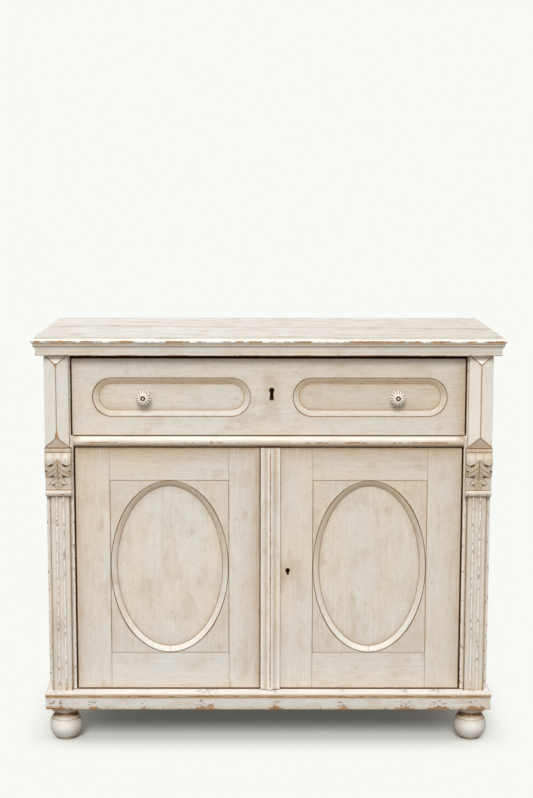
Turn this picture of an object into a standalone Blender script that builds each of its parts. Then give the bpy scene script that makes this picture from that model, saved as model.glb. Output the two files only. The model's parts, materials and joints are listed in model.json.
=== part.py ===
"""Low painted pine cupboard: one drawer over two doors with oval panels, on turned bun feet.

Metres, +Z up, front towards -Y, origin on the floor under the middle of the top.
"""
import math

import bmesh
import bpy
from mathutils import Vector

# Fits
FIT = 0.0003                    # gap left between pieces that touch
ARRIS = 0.0012                  # flat worn on the sharp edges of the face timber

# Top
TOP_WIDTH = 1.120
TOP_DEPTH = 0.540
TOP_THICKNESS = 0.016
TOP_SEAM_LEFT = 0.050           # where the two boards meet, at the left end
TOP_SEAM_RIGHT = -0.012         # and at the right end: the boards taper
NOSE_FILLET_HEIGHT = 0.0045     # square step under the rounded edge
NOSE_FILLET_INSET = 0.005
FRONT_OVERHANG = 0.030          # top edge in front of the pilasters
BACK_OVERHANG = 0.012

# Case
SIDE_OVERHANG = 0.027           # top edge beyond the case, at each end
SIDE_THICKNESS = 0.018
BACK_THICKNESS = 0.010
BOTTOM_THICKNESS = 0.018
BOTTOM_TONGUE_WIDTH = 0.600     # middle of the bottom board, which stops both doors
SHELF_THICKNESS = 0.018
SHELF_ABOVE_BOTTOM = 0.281
SHELF_SETBACK = 0.052           # behind the stiles
SHELF_HOUSING = 0.006           # groove in each side that carries the shelf
STILE_WIDTH = 0.0665
STILE_THICKNESS = 0.024
STILE_NOTCH = 0.0052            # upper part of each stile, beside the drawer, stands back this far

# Pilasters on the stiles
PILASTER_WIDTH = 0.062          # of the corbel
PILASTER_THICKNESS = 0.014
FLUTES = 3
FLUTE_WIDTH = 0.013
FLUTE_DEPTH = 0.0055
FLUTE_LAND = 0.0034             # flat between two flutes
SHAFT_BORDER = 0.001            # flat outside the outer flutes
SHAFT_FROM_SIDE = 0.0095        # outer edge of the fluted shaft inside the case's side
CORBEL_HEIGHT = 0.1185
CORBEL_BELOW_RAIL = 0.0005      # upper end of the corbel under the rail's lower edge
CORBEL_CAP_HEIGHT = 0.010
CORBEL_CAP_PROJECTION = 0.010   # in front of the pilaster's face
CORBEL_LEAF_PROJECTION = 0.019
CORBEL_LEAF_CREST = 0.018       # height of the leaf above its fullest point
CORBEL_LEAF_TUCK = 0.010        # how far it draws back under the cap
CORBEL_ROLL_HEIGHT = 0.016
CORBEL_ROLL_PROJECTION = 0.005
BLOCK_WIDTH = 0.0575
BLOCK_EDGE = 0.010              # thickness of the faceted block at its border
BLOCK_RIDGE = 0.019             # and at its ridge
BLOCK_HIP = 0.024               # from the block's end to the ridge's end

# Cornice under the top
CORNICE_HEIGHT = 0.024
CORNICE_BOTTOM_PROJECTION = 0.0185
CORNICE_TOP_PROJECTION = 0.0225
CORNICE_FILLET = 0.0135         # flat band under the cove
CORNICE_COVE_STEP = 0.002

# Rails
RAIL_HEIGHT = 0.0255
RAIL_DEPTH = 0.060
RAIL_NOSE = 0.016               # half-round front, in front of the drawer's face
TOP_RAIL_HEIGHT = 0.031
TOP_RAIL_DEPTH = 0.045
TOP_RAIL_SETBACK = 0.0145

# Plinth and feet
FOOT_HEIGHT = 0.0905
FOOT_RADIUS = 0.0397
FOOT_BALL_HEIGHT = 0.0355       # centre of the ball above the floor
FOOT_RING_RADIUS = 0.023
FOOT_RING_HEIGHT = 0.0055
FOOT_NECK_RADIUS = 0.027
FOOT_COLLAR_RADIUS = 0.038
FOOT_COLLAR_HEIGHT = 0.0155
FOOT_COLLAR_LIP = 0.002         # square step between the hollow neck and the collar's rim
FOOT_TENON_RADIUS = 0.010
FOOT_TENON_LENGTH = 0.025
FOOT_FROM_SIDE = 0.043          # foot centre inside the plinth's side
FOOT_FROM_FRONT = 0.061         # and behind its front
FOOT_FROM_BACK = 0.053
PLINTH_HEIGHT = 0.040
PLINTH_WIDTH = 0.060            # of each bar, seen from above
PLINTH_FRONT_PROJECTION = 0.026
PLINTH_SIDE_PROJECTION = 0.0075
PLINTH_BEAD_HEIGHT = 0.010
PLINTH_BEAD_PROJECTION = 0.0015

# Doors
DOOR_HEIGHT = 0.5965
DOOR_THICKNESS = 0.022
DOOR_GAP_SIDE = 0.003
DOOR_GAP_BOTTOM = 0.0025
DOOR_GAP_TOP = 0.002
DOOR_SWING_ROOM = 0.0035        # behind the hinge edge, for its back corner
MEETING_GAP = 0.002
MEETING_X = -0.020              # middle of the gap between the doors
HINGE_STILE_WIDTH = 0.082
LEFT_MEETING_STILE_WIDTH = 0.0742
RIGHT_MEETING_STILE_WIDTH = 0.1252
BOTTOM_RAIL_HEIGHT = 0.089
PANEL_HEIGHT = 0.427
OVAL_LIGAMENT = 0.002           # wood left between the oval and the edge of its board
OVAL_SINK = 0.009               # field below the door's face
OVAL_LAND = 0.0045              # flat border of the oval moulding
OVAL_BEVEL = 0.0115
STRIP_WIDTH = 0.047
STRIP_PROJECTION = 0.018
STRIP_EDGE = 0.010              # height of the cover strip at its two borders
STRIP_COVE_DEPTH = 0.004

# Door pivots
PIN_RADIUS = 0.003
PIN_FROM_EDGE = 0.010
PIN_FROM_FACE = 0.005
PIN_IN_DOOR = 0.012
PIN_IN_CASE = 0.012
PIN_COLLAR_RADIUS = 0.0045

# Drawer
DRAWER_FRONT_HEIGHT = 0.185
DRAWER_FRONT_THICKNESS = 0.022
DRAWER_GAP_BOTTOM = 0.0015
DRAWER_GAP_TOP = 0.003
DRAWER_GAP_SIDE = 0.003
DRAWER_SIDE_INSET = 0.001
DRAWER_SIDE_THICKNESS = 0.012
DRAWER_SIDE_HEIGHT = 0.1535
DRAWER_BOTTOM_RISE = 0.006
DRAWER_BOTTOM_THICKNESS = 0.008
DRAWER_BACK_GAP = 0.002
SUNK_PANEL_ABOVE = 0.092        # centre of the sunk panels above the drawer's lower edge
SUNK_PANEL_HEIGHT = 0.0934
SUNK_PANEL_DEPTH = 0.007
SUNK_PANEL_BEVEL = 0.0145
LEFT_SUNK_FROM_END = 0.0491     # outer end of the left sunk panel inside the drawer's end
LEFT_SUNK_FROM_KEYHOLE = 0.0503
RIGHT_SUNK_FROM_END = 0.0429
RIGHT_SUNK_FROM_KEYHOLE = 0.0505
LEFT_KNOB_OFFSET = 0.0667       # knob outside the middle of its sunk panel
RIGHT_KNOB_OFFSET = 0.0652
KNOB_RADIUS = 0.0182
KNOB_LENGTH = 0.034
KNOB_STEM_RADIUS = 0.008
KNOB_PETALS = 12
KNOB_PETAL_DIP = 0.12           # share of the radius lost between two petals
RUNNER_HEIGHT = 0.020
RUNNER_BEARING = 0.022          # part of the runner under the drawer's side
GUIDE_HEIGHT = 0.020

# Locks and bolts
KEYHOLE_X = 0.0073
KEYHOLE_ABOVE = 0.086           # lower end of the drawer's keyhole above the drawer's lower edge
KEYHOLE_HEIGHT = 0.0284
KEYHOLE_HEAD_RADIUS = 0.0055
KEYHOLE_SLOT_WIDTH = 0.006
DOOR_KEYHOLE_FROM_EDGE = 0.0656
DOOR_KEYHOLE_ABOVE = 0.284      # lower end of the door's keyhole above the door's lower edge
DOOR_KEYHOLE_HEIGHT = 0.0155
DOOR_KEYHOLE_HEAD_RADIUS = 0.005
LOCK_WALL = 0.0015
LOCK_DEPTH = 0.014
DRAWER_LOCK_WIDTH = 0.080
DRAWER_LOCK_HEIGHT = 0.100
DRAWER_LOCK_DROP = 0.0025       # case below the drawer front's upper edge
DOOR_LOCK_INSET = 0.002
DOOR_LOCK_WIDTH = 0.092
DOOR_LOCK_HEIGHT = 0.080
BOLT_THICKNESS = 0.006
BOLT_LENGTH = 0.045
BOLT_WIDTH = 0.026
DOOR_BOLT_RISE = 0.028          # bolt's centre above the keyhole's lower end
BOLT_THROW = 0.0135
EDGE_BOLT_SIZE = 0.0072
EDGE_BOLT_LENGTH = 0.135
EDGE_BOLT_DROP = 0.0025         # bolt's end below the door's upper edge at rest
EDGE_BOLT_THROW = 0.014
MORTISE_ROOM = 0.0015           # room round a bolt in its mortise

# Finishes: colour, roughness, metallic
PAINTED_PINE = ("painted_pine", (0.70, 0.66, 0.57), 0.62, 0.0)
BARE_PINE = ("bare_pine", (0.46, 0.31, 0.17), 0.70, 0.0)
GLAZED_CERAMIC = ("glazed_ceramic", (0.74, 0.68, 0.56), 0.30, 0.0)
IRON = ("iron", (0.09, 0.08, 0.07), 0.55, 1.0)

# Levels, from the floor up
plinth_top = FOOT_HEIGHT + PLINTH_HEIGHT
door_low = plinth_top + DOOR_GAP_BOTTOM
door_high = door_low + DOOR_HEIGHT
rail_low = door_high + DOOR_GAP_TOP
rail_high = rail_low + RAIL_HEIGHT
drawer_low = rail_high + DRAWER_GAP_BOTTOM
drawer_high = drawer_low + DRAWER_FRONT_HEIGHT
top_rail_low = drawer_high + DRAWER_GAP_TOP
top_low = top_rail_low + TOP_RAIL_HEIGHT
cornice_low = top_low - CORNICE_HEIGHT
corbel_high = rail_low - CORBEL_BELOW_RAIL
shaft_high = corbel_high - CORBEL_HEIGHT
bottom_high = plinth_top + FIT + BOTTOM_THICKNESS
shelf_low = bottom_high + SHELF_ABOVE_BOTTOM

# Planes across the case, and from front to back
side_out = TOP_WIDTH / 2 - SIDE_OVERHANG
side_in = side_out - SIDE_THICKNESS
opening = side_out - STILE_WIDTH
drawer_opening = opening + STILE_NOTCH
pilaster_in = side_out - PILASTER_WIDTH
block_in = side_out - BLOCK_WIDTH
shaft_out = side_out - SHAFT_FROM_SIDE
shaft_in = shaft_out - FLUTES * FLUTE_WIDTH - (FLUTES - 1) * FLUTE_LAND - 2 * SHAFT_BORDER
pilaster_face = -TOP_DEPTH / 2 + FRONT_OVERHANG
face = pilaster_face + PILASTER_THICKNESS
stile_back = face + STILE_THICKNESS
case_back = TOP_DEPTH / 2 - BACK_OVERHANG
back_face = case_back - BACK_THICKNESS
rail_back = face + RAIL_DEPTH
door_back = face + DOOR_THICKNESS
plinth_front = pilaster_face - PLINTH_FRONT_PROJECTION
plinth_side = side_out + PLINTH_SIDE_PROJECTION
drawer_front_back = face + DRAWER_FRONT_THICKNESS
drawer_half = drawer_opening - DRAWER_GAP_SIDE
drawer_side_out = drawer_half - DRAWER_SIDE_INSET
drawer_end = back_face - DRAWER_BACK_GAP

# Doors, across
door_out = opening - DOOR_GAP_SIDE
left_meeting = MEETING_X - MEETING_GAP / 2
right_meeting = MEETING_X + MEETING_GAP / 2
pin_x = door_out - PIN_FROM_EDGE
pin_y = face + PIN_FROM_FACE
panel_low = door_low + BOTTOM_RAIL_HEIGHT
panel_high = panel_low + PANEL_HEIGHT
field_y = face + OVAL_SINK


def clear_scene():
    """Start from an empty scene."""
    for item in list(bpy.data.objects):
        bpy.data.objects.remove(item)


def body(name, at, parent=None):
    """An empty that carries the pieces which move together, set on their joint's axis."""
    empty = bpy.data.objects.new(name, None)
    bpy.context.collection.objects.link(empty)
    empty.parent = parent
    empty.location = Vector(at) - (world_place(parent) if parent else Vector())
    return empty


def world_place(item):
    """Where an unturned object stands, through its chain of parents."""
    place = Vector(item.location)
    while item.parent:
        item = item.parent
        place += item.location
    return place


def coat(item, finish):
    """Give one piece its own material."""
    name, colour, roughness, metallic = finish
    material = bpy.data.materials.new(f"{item.name}_{name}")
    material.use_nodes = True
    shader = material.node_tree.nodes["Principled BSDF"]
    shader.inputs["Base Color"].default_value = (*colour, 1.0)
    shader.inputs["Roughness"].default_value = roughness
    shader.inputs["Metallic"].default_value = metallic
    item.data.materials.append(material)


def piece(name, shape, carrier, finish=PAINTED_PINE, smooth=False):
    """Turn a shape in world coordinates into an object with its origin at the shape's middle."""
    bmesh.ops.recalc_face_normals(shape, faces=shape.faces)
    corners = [v.co for v in shape.verts]
    low = Vector(min(c[i] for c in corners) for i in range(3))
    high = Vector(max(c[i] for c in corners) for i in range(3))
    middle = (low + high) / 2
    bmesh.ops.translate(shape, verts=shape.verts, vec=-middle)
    mesh = bpy.data.meshes.new(name)
    shape.to_mesh(mesh)
    shape.free()
    if smooth:
        mesh.shade_smooth()
        mesh.set_sharp_from_angle(angle=math.radians(35))
    item = bpy.data.objects.new(name, mesh)
    bpy.context.collection.objects.link(item)
    item.parent = carrier
    item.location = middle - world_place(carrier)
    coat(item, finish)
    return item


def box(low, high, arris=0.0):
    """A board between two corners, with its sharp edges taken off where asked."""
    shape = bmesh.new()
    bmesh.ops.create_cube(shape, size=1.0)
    size = Vector(high) - Vector(low)
    bmesh.ops.scale(shape, verts=shape.verts, vec=size)
    bmesh.ops.translate(shape, verts=shape.verts, vec=(Vector(low) + Vector(high)) / 2)
    if arris:
        bmesh.ops.bevel(shape, geom=shape.edges, offset=arris, segments=1, affect="EDGES")
    return shape


def loft(rings, closed=False):
    """Skin a row of rings of points. Open rows get a cap at each end, closed ones join up."""
    shape = bmesh.new()
    rows = [[shape.verts.new(p) for p in ring] for ring in rings]
    pairs = list(zip(rows, rows[1:]))
    if closed:
        pairs.append((rows[-1], rows[0]))
    else:
        shape.faces.new(rows[0])
        shape.faces.new(rows[-1])
    for first, second in pairs:
        for i in range(len(first)):
            j = (i + 1) % len(first)
            shape.faces.new((first[i], first[j], second[j], second[i]))
    return shape


def turned(profile, at, segments=28):
    """Spin a profile of (radius, height) about a vertical axis. It starts and ends on the axis."""
    shape = bmesh.new()
    points = [shape.verts.new((r, 0.0, z)) for r, z in profile]
    edges = [shape.edges.new(pair) for pair in zip(points, points[1:])]
    bmesh.ops.spin(shape, geom=points + edges, cent=(0, 0, 0), axis=(0, 0, 1),
                   angle=math.tau, steps=segments, use_merge=True)
    bmesh.ops.remove_doubles(shape, verts=shape.verts, dist=1e-6)
    bmesh.ops.translate(shape, verts=shape.verts, vec=at)
    return shape


def arc(centre, radius, start, end, steps, squash=1.0):
    """Points along an arc in degrees. Squash scales its second coordinate."""
    for i in range(steps + 1):
        turn = math.radians(start + (end - start) * i / steps)
        yield (centre[0] + radius * math.cos(turn), centre[1] + radius * squash * math.sin(turn))


def cut(item, shape, name):
    """Take a shape out of a piece with a hidden cutter."""
    bmesh.ops.recalc_face_normals(shape, faces=shape.faces)
    mesh = bpy.data.meshes.new(name)
    shape.to_mesh(mesh)
    shape.free()
    cutter = bpy.data.objects.new(name, mesh)
    bpy.context.collection.objects.link(cutter)
    cutter.hide_render = True
    cutter.display_type = "WIRE"
    difference = item.modifiers.new(name, "BOOLEAN")
    difference.operation = "DIFFERENCE"
    difference.solver = "EXACT"
    difference.object = cutter


def upright(outline, low, high):
    """Extrude a plan outline of (x, y) from one level to another."""
    return loft([[(x, y, low) for x, y in outline], [(x, y, high) for x, y in outline]])


def mirrored(outline, side):
    """Carry an outline of (x, ...) drawn for the right side over to the side asked for."""
    return [(side * p[0], *p[1:]) for p in outline]


def round_hole(x, y, low, high, radius):
    """An upright round cutter with flat ends."""
    return upright(list(arc((x, y), radius, 0, 345, 23)), low, high)


def keyhole_outline(x, low, height, head):
    """Round head over a straight slot, as (x, z)."""
    half = KEYHOLE_SLOT_WIDTH / 2
    neck = math.degrees(math.asin(half / head))
    centre = (x, low + height - head)
    outline = list(arc(centre, head, -90 + neck, 270 - neck, 14))
    return outline + [(x - half, low), (x + half, low)]


def through(outline, front, back):
    """Extrude an outline of (x, z) from front to back."""
    return loft([[(x, front, z) for x, z in outline], [(x, back, z) for x, z in outline]])


def make_top(case):
    """Two tapering boards with a rounded edge on the front and the ends."""
    half = TOP_WIDTH / 2
    nose = (TOP_THICKNESS - NOSE_FILLET_HEIGHT) / 2
    middle = top_low + NOSE_FILLET_HEIGHT + nose
    profile = [(NOSE_FILLET_INSET, top_low), (NOSE_FILLET_INSET, top_low + NOSE_FILLET_HEIGHT)]
    profile += [(nose - out, z) for out, z in arc((0, middle), nose, -60, 90, 10)]

    def seam(x):
        share = (x + half) / TOP_WIDTH
        return TOP_SEAM_LEFT + (TOP_SEAM_RIGHT - TOP_SEAM_LEFT) * share

    front_rings = []
    back_rings = []
    for inset, z in profile:
        x = half - inset
        front = -TOP_DEPTH / 2 + inset
        front_rings.append([(-x, front, z), (x, front, z), (x, seam(x) - FIT, z), (-x, seam(-x) - FIT, z)])
        back_rings.append([(-x, seam(-x), z), (x, seam(x), z), (x, TOP_DEPTH / 2, z), (-x, TOP_DEPTH / 2, z)])
    piece("top_board_front", loft(front_rings), case)
    piece("top_board_back", loft(back_rings), case)


def make_case(case):
    """Sides, back, bottom, shelf and the stiles that the front is built on."""
    for side, word in ((-1, "left"), (1, "right")):
        inner, outer = sorted((side * side_in, side * side_out))
        board = box((inner, stile_back + FIT, plinth_top + FIT), (outer, case_back, top_low - FIT), ARRIS)
        panel = piece(f"side_{word}", board, case)
        near, far = sorted((side * (side_in - FIT), side * (side_in + SHELF_HOUSING)))
        housing = box((near, stile_back + SHELF_SETBACK - FIT, shelf_low - FIT),
                      (far, back_face, shelf_low + SHELF_THICKNESS + FIT))
        cut(panel, housing, f"shelf_housing_{word}")
        inner, outer = sorted((side * opening, side * side_out))
        board = box((inner, face, plinth_top + FIT), (outer, stile_back, top_low - FIT), ARRIS)
        stile = piece(f"stile_{word}", board, case)
        near, far = sorted((side * (opening - FIT), side * drawer_opening))
        notch = box((near, face - FIT, rail_high + FIT), (far, stile_back + FIT, top_low))
        cut(stile, notch, f"stile_notch_{word}")
    half = side_in - FIT
    board = box((-half, back_face, plinth_top + FIT), (half, case_back, top_low - FIT))
    piece("back_panel", board, case)
    tongue = BOTTOM_TONGUE_WIDTH / 2
    bottom_front = door_back + DOOR_SWING_ROOM
    stop = door_back + FIT
    end = back_face - FIT
    outline = [(-half, bottom_front), (-tongue, bottom_front), (-tongue, stop), (tongue, stop),
               (tongue, bottom_front), (half, bottom_front), (half, end), (-half, end)]
    piece("bottom_board", upright(outline, plinth_top + FIT, bottom_high), case, BARE_PINE)
    shelf_half = side_in + SHELF_HOUSING - FIT
    board = box((-shelf_half, stile_back + SHELF_SETBACK, shelf_low),
                (shelf_half, back_face - 2 * FIT, shelf_low + SHELF_THICKNESS))
    piece("shelf", board, case, BARE_PINE)


def make_rails(case):
    """Rail with a half-round front under the drawer, hidden rail over it, and the runners."""
    half = opening - FIT
    middle = (rail_low + rail_high) / 2
    nose = RAIL_HEIGHT / 2
    outline = [(face - out, z) for out, z in arc((0, 0), RAIL_NOSE, -90, 90, 10, nose / RAIL_NOSE)]
    outline = [(y, middle + z) for y, z in outline] + [(rail_back, rail_high), (rail_back, rail_low)]
    rail = piece("drawer_rail", loft([[(x, y, z) for y, z in outline] for x in (-half, half)]), case)
    for side, word in ((-1, "left"), (1, "right")):
        hole = round_hole(side * pin_x, pin_y, rail_low - FIT, rail_low + PIN_IN_CASE + FIT, PIN_RADIUS + FIT)
        cut(rail, hole, f"rail_pin_hole_{word}")
    low, high = edge_bolt_corners(MORTISE_ROOM)
    reach = high[2] + EDGE_BOLT_THROW + MORTISE_ROOM
    cut(rail, box((low[0], low[1], rail_low - FIT), (high[0], high[1], reach)), "edge_bolt_mortise")
    front = face + TOP_RAIL_SETBACK
    half = drawer_opening - FIT
    bar = box((-half, front, top_rail_low), (half, front + TOP_RAIL_DEPTH, top_low - FIT))
    top_rail = piece("top_rail", bar, case, BARE_PINE)
    low, high = drawer_bolt_corners(MORTISE_ROOM)
    reach = high[2] + BOLT_THROW + MORTISE_ROOM
    cut(top_rail, box((low[0], low[1], top_rail_low - FIT), (high[0], high[1], reach)), "drawer_bolt_mortise")
    bearing = drawer_low - FIT
    for side, word in ((-1, "left"), (1, "right")):
        inner = drawer_opening - RUNNER_BEARING
        outer = side_in - FIT
        section = [(inner, bearing - RUNNER_HEIGHT), (outer, bearing - RUNNER_HEIGHT),
                   (outer, bearing + GUIDE_HEIGHT),
                   (drawer_opening, bearing + GUIDE_HEIGHT), (drawer_opening, bearing), (inner, bearing)]
        section = mirrored(section, side)
        piece(f"drawer_runner_{word}", through(section, rail_back + FIT, back_face - FIT), case, BARE_PINE)


def make_pilasters(case):
    """Fluted shaft, corbel and faceted block on each stile."""
    back = face - FIT
    for side, word in ((-1, "left"), (1, "right")):
        pitch = FLUTE_WIDTH + FLUTE_LAND
        middle = (shaft_in + shaft_out) / 2
        flute_radius = (FLUTE_WIDTH ** 2 / 4 + FLUTE_DEPTH ** 2) / (2 * FLUTE_DEPTH)
        spread = math.degrees(math.asin(FLUTE_WIDTH / 2 / flute_radius))
        plan = [(shaft_out, back), (shaft_out, pilaster_face)]
        for i in range(FLUTES):
            centre = (middle + (FLUTES - 1 - 2 * i) / 2 * pitch, pilaster_face - flute_radius + FLUTE_DEPTH)
            plan += list(arc(centre, flute_radius, 90 - spread, 90 + spread, 6))
        plan += [(shaft_in, pilaster_face), (shaft_in, back)]
        shaft = upright(mirrored(plan, side), plinth_top + FIT, shaft_high - FIT)
        piece(f"fluted_pilaster_{word}", shaft, case)

        low = shaft_high
        high = corbel_high - FIT
        leaf_low = low + CORBEL_ROLL_HEIGHT
        leaf_high = high - CORBEL_CAP_HEIGHT
        roll = CORBEL_ROLL_HEIGHT / 2
        section = [(back, low)]
        bulge = arc((0, low + roll), CORBEL_ROLL_PROJECTION, -90, 90, 6, roll / CORBEL_ROLL_PROJECTION)
        section += [(pilaster_face - out, z) for out, z in bulge]
        crest = leaf_high - CORBEL_LEAF_CREST
        leaf_steps = 12
        for i in range(1, leaf_steps + 1):
            z = leaf_low + (leaf_high - leaf_low) * i / leaf_steps
            below = min((z - leaf_low) / (crest - leaf_low), 1.0)
            above = max((z - crest) / CORBEL_LEAF_CREST, 0.0)
            swell = CORBEL_LEAF_PROJECTION * math.sin(math.pi / 2 * below) ** 2
            out = swell - CORBEL_LEAF_TUCK * above ** 2
            section.append((pilaster_face - out, z))
        section += [(pilaster_face - CORBEL_CAP_PROJECTION, leaf_high + FIT),
                    (pilaster_face - CORBEL_CAP_PROJECTION, high), (back, high)]
        inner, outer = sorted((side * pilaster_in, side * side_out))
        piece(f"corbel_{word}", loft([[(x, y, z) for y, z in section] for x in (inner, outer)]), case)

        low = corbel_high
        high = cornice_low - FIT
        inner, outer = sorted((side * block_in, side * side_out))
        edge = face - BLOCK_EDGE
        ridge = face - BLOCK_RIDGE
        ridge_x = (inner + outer) / 2
        block = bmesh.new()
        corners = ((inner, low), (outer, low), (outer, high), (inner, high))
        base = [block.verts.new((x, back, z)) for x, z in corners]
        rim = [block.verts.new((v.co.x, edge, v.co.z)) for v in base]
        ends = [block.verts.new((ridge_x, ridge, z)) for z in (low + BLOCK_HIP, high - BLOCK_HIP)]
        block.faces.new(base)
        for i in range(4):
            j = (i + 1) % 4
            block.faces.new((base[i], base[j], rim[j], rim[i]))
        block.faces.new((rim[0], rim[1], ends[0]))
        block.faces.new((rim[1], rim[2], ends[1], ends[0]))
        block.faces.new((rim[2], rim[3], ends[1]))
        block.faces.new((rim[3], rim[0], ends[0], ends[1]))
        piece(f"diamond_block_{word}", block, case)


def make_cornice(case):
    """Cove moulding under the top, mitred at the front corners."""
    high = top_low - FIT
    cove_low = cornice_low + CORNICE_FILLET
    run = CORNICE_TOP_PROJECTION - CORNICE_BOTTOM_PROJECTION + CORNICE_COVE_STEP
    rise = high - CORNICE_COVE_STEP / 2 - cove_low
    nose = [(CORNICE_BOTTOM_PROJECTION, cornice_low), (CORNICE_BOTTOM_PROJECTION, cove_low)]
    nose += [(CORNICE_TOP_PROJECTION + x, cove_low + z)
             for x, z in arc((0, 0), run, 180, 90, 7, rise / run)]
    nose.append((CORNICE_TOP_PROJECTION, high))

    def section(behind):
        return [(behind, cornice_low)] + nose + [(behind, high)]

    outline = section(FIT - PILASTER_THICKNESS)
    ends = [[(side * (side_out + out - FIT), pilaster_face - out, z) for out, z in outline]
            for side in (-1, 1)]
    piece("cornice_front", loft(ends), case)
    outline = section(FIT)
    for side, word in ((-1, "left"), (1, "right")):
        mitre = [(side * (side_out + out), pilaster_face - out + FIT, z) for out, z in outline]
        square = [(side * (side_out + out), case_back, z) for out, z in outline]
        piece(f"cornice_{word}", loft([mitre, square]), case)


def make_plinth(case):
    """Plinth bars with a bead along the upper edge, and the turned feet under them."""
    high = plinth_top
    bead = PLINTH_BEAD_HEIGHT / 2
    outline = [(-PLINTH_WIDTH, FOOT_HEIGHT), (-PLINTH_BEAD_PROJECTION, FOOT_HEIGHT)]
    outline += list(arc((-PLINTH_BEAD_PROJECTION, high - bead), PLINTH_BEAD_PROJECTION, -90, 90, 6,
                        bead / PLINTH_BEAD_PROJECTION))
    outline.append((-PLINTH_WIDTH, high))
    ends = [[(side * (plinth_side + out - FIT), plinth_front - out, z) for out, z in outline]
            for side in (-1, 1)]
    front = piece("plinth_front", loft(ends), case)
    foot_x = plinth_side - FOOT_FROM_SIDE
    places = (("front", plinth_front + FOOT_FROM_FRONT), ("back", case_back - FOOT_FROM_BACK))
    for side, word in ((-1, "left"), (1, "right")):
        mitre = [(side * (plinth_side + out), plinth_front - out + FIT, z) for out, z in outline]
        square = [(side * (plinth_side + out), case_back, z) for out, z in outline]
        bar = piece(f"plinth_{word}", loft([mitre, square]), case)
        low = plinth_top - PIN_IN_CASE - FIT
        hole = round_hole(side * pin_x, pin_y, low, plinth_top + FIT, PIN_RADIUS + FIT)
        cut(front, hole, f"plinth_pin_hole_{word}")
        reach = FOOT_HEIGHT + FOOT_TENON_LENGTH + FIT
        for place, y in places:
            hole = round_hole(side * foot_x, y, FOOT_HEIGHT - FIT, reach, FOOT_TENON_RADIUS + FIT)
            cut(bar, hole, f"tenon_hole_{place}_{word}")
            foot = turned(foot_profile(), (side * foot_x, y, 0))
            piece(f"foot_{place}_{word}", foot, case, smooth=True)


def foot_profile():
    """Base ring, ball, neck, flared collar and the tenon into the plinth."""
    top = FOOT_HEIGHT - FIT
    collar = top - FOOT_COLLAR_HEIGHT
    low_angle = math.degrees(math.asin((FOOT_BALL_HEIGHT - FOOT_RING_HEIGHT) / FOOT_RADIUS))
    high_angle = math.degrees(math.acos(FOOT_NECK_RADIUS / FOOT_RADIUS))
    profile = [(0, 0), (FOOT_RING_RADIUS, 0), (FOOT_RING_RADIUS, FOOT_RING_HEIGHT)]
    profile += list(arc((0, FOOT_BALL_HEIGHT), FOOT_RADIUS, -low_angle + 4, high_angle, 9))
    neck = FOOT_BALL_HEIGHT + FOOT_RADIUS * math.sin(math.radians(high_angle))
    flare = FOOT_COLLAR_RADIUS - FOOT_COLLAR_LIP - FOOT_NECK_RADIUS
    hollow = arc((FOOT_NECK_RADIUS + flare, neck), flare, 180, 90, 5, (collar - neck) / flare)
    profile += list(hollow)[1:]
    profile += [(FOOT_COLLAR_RADIUS, collar), (FOOT_COLLAR_RADIUS, top)]
    end = top + FOOT_TENON_LENGTH
    profile += [(FOOT_TENON_RADIUS, top), (FOOT_TENON_RADIUS, end), (0, end)]
    return profile


def make_pins(case):
    """Iron pivot pins: the lower ones have a collar that carries the door."""
    for side, word in ((-1, "left"), (1, "right")):
        low = plinth_top - PIN_IN_CASE
        seat = plinth_top + FIT
        collar = door_low - FIT
        end = door_low + PIN_IN_DOOR
        place = (side * pin_x, pin_y, 0)
        profile = [(0, low), (PIN_RADIUS, low), (PIN_RADIUS, seat), (PIN_COLLAR_RADIUS, seat),
                   (PIN_COLLAR_RADIUS, collar), (PIN_RADIUS, collar), (PIN_RADIUS, end), (0, end)]
        piece(f"pivot_pin_lower_{word}", turned(profile, place, 24), case, IRON, smooth=True)
        low = door_high - PIN_IN_DOOR
        end = rail_low + PIN_IN_CASE
        profile = [(0, low), (PIN_RADIUS, low), (PIN_RADIUS, end), (0, end)]
        piece(f"pivot_pin_upper_{word}", turned(profile, place, 24), case, IRON, smooth=True)


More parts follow.
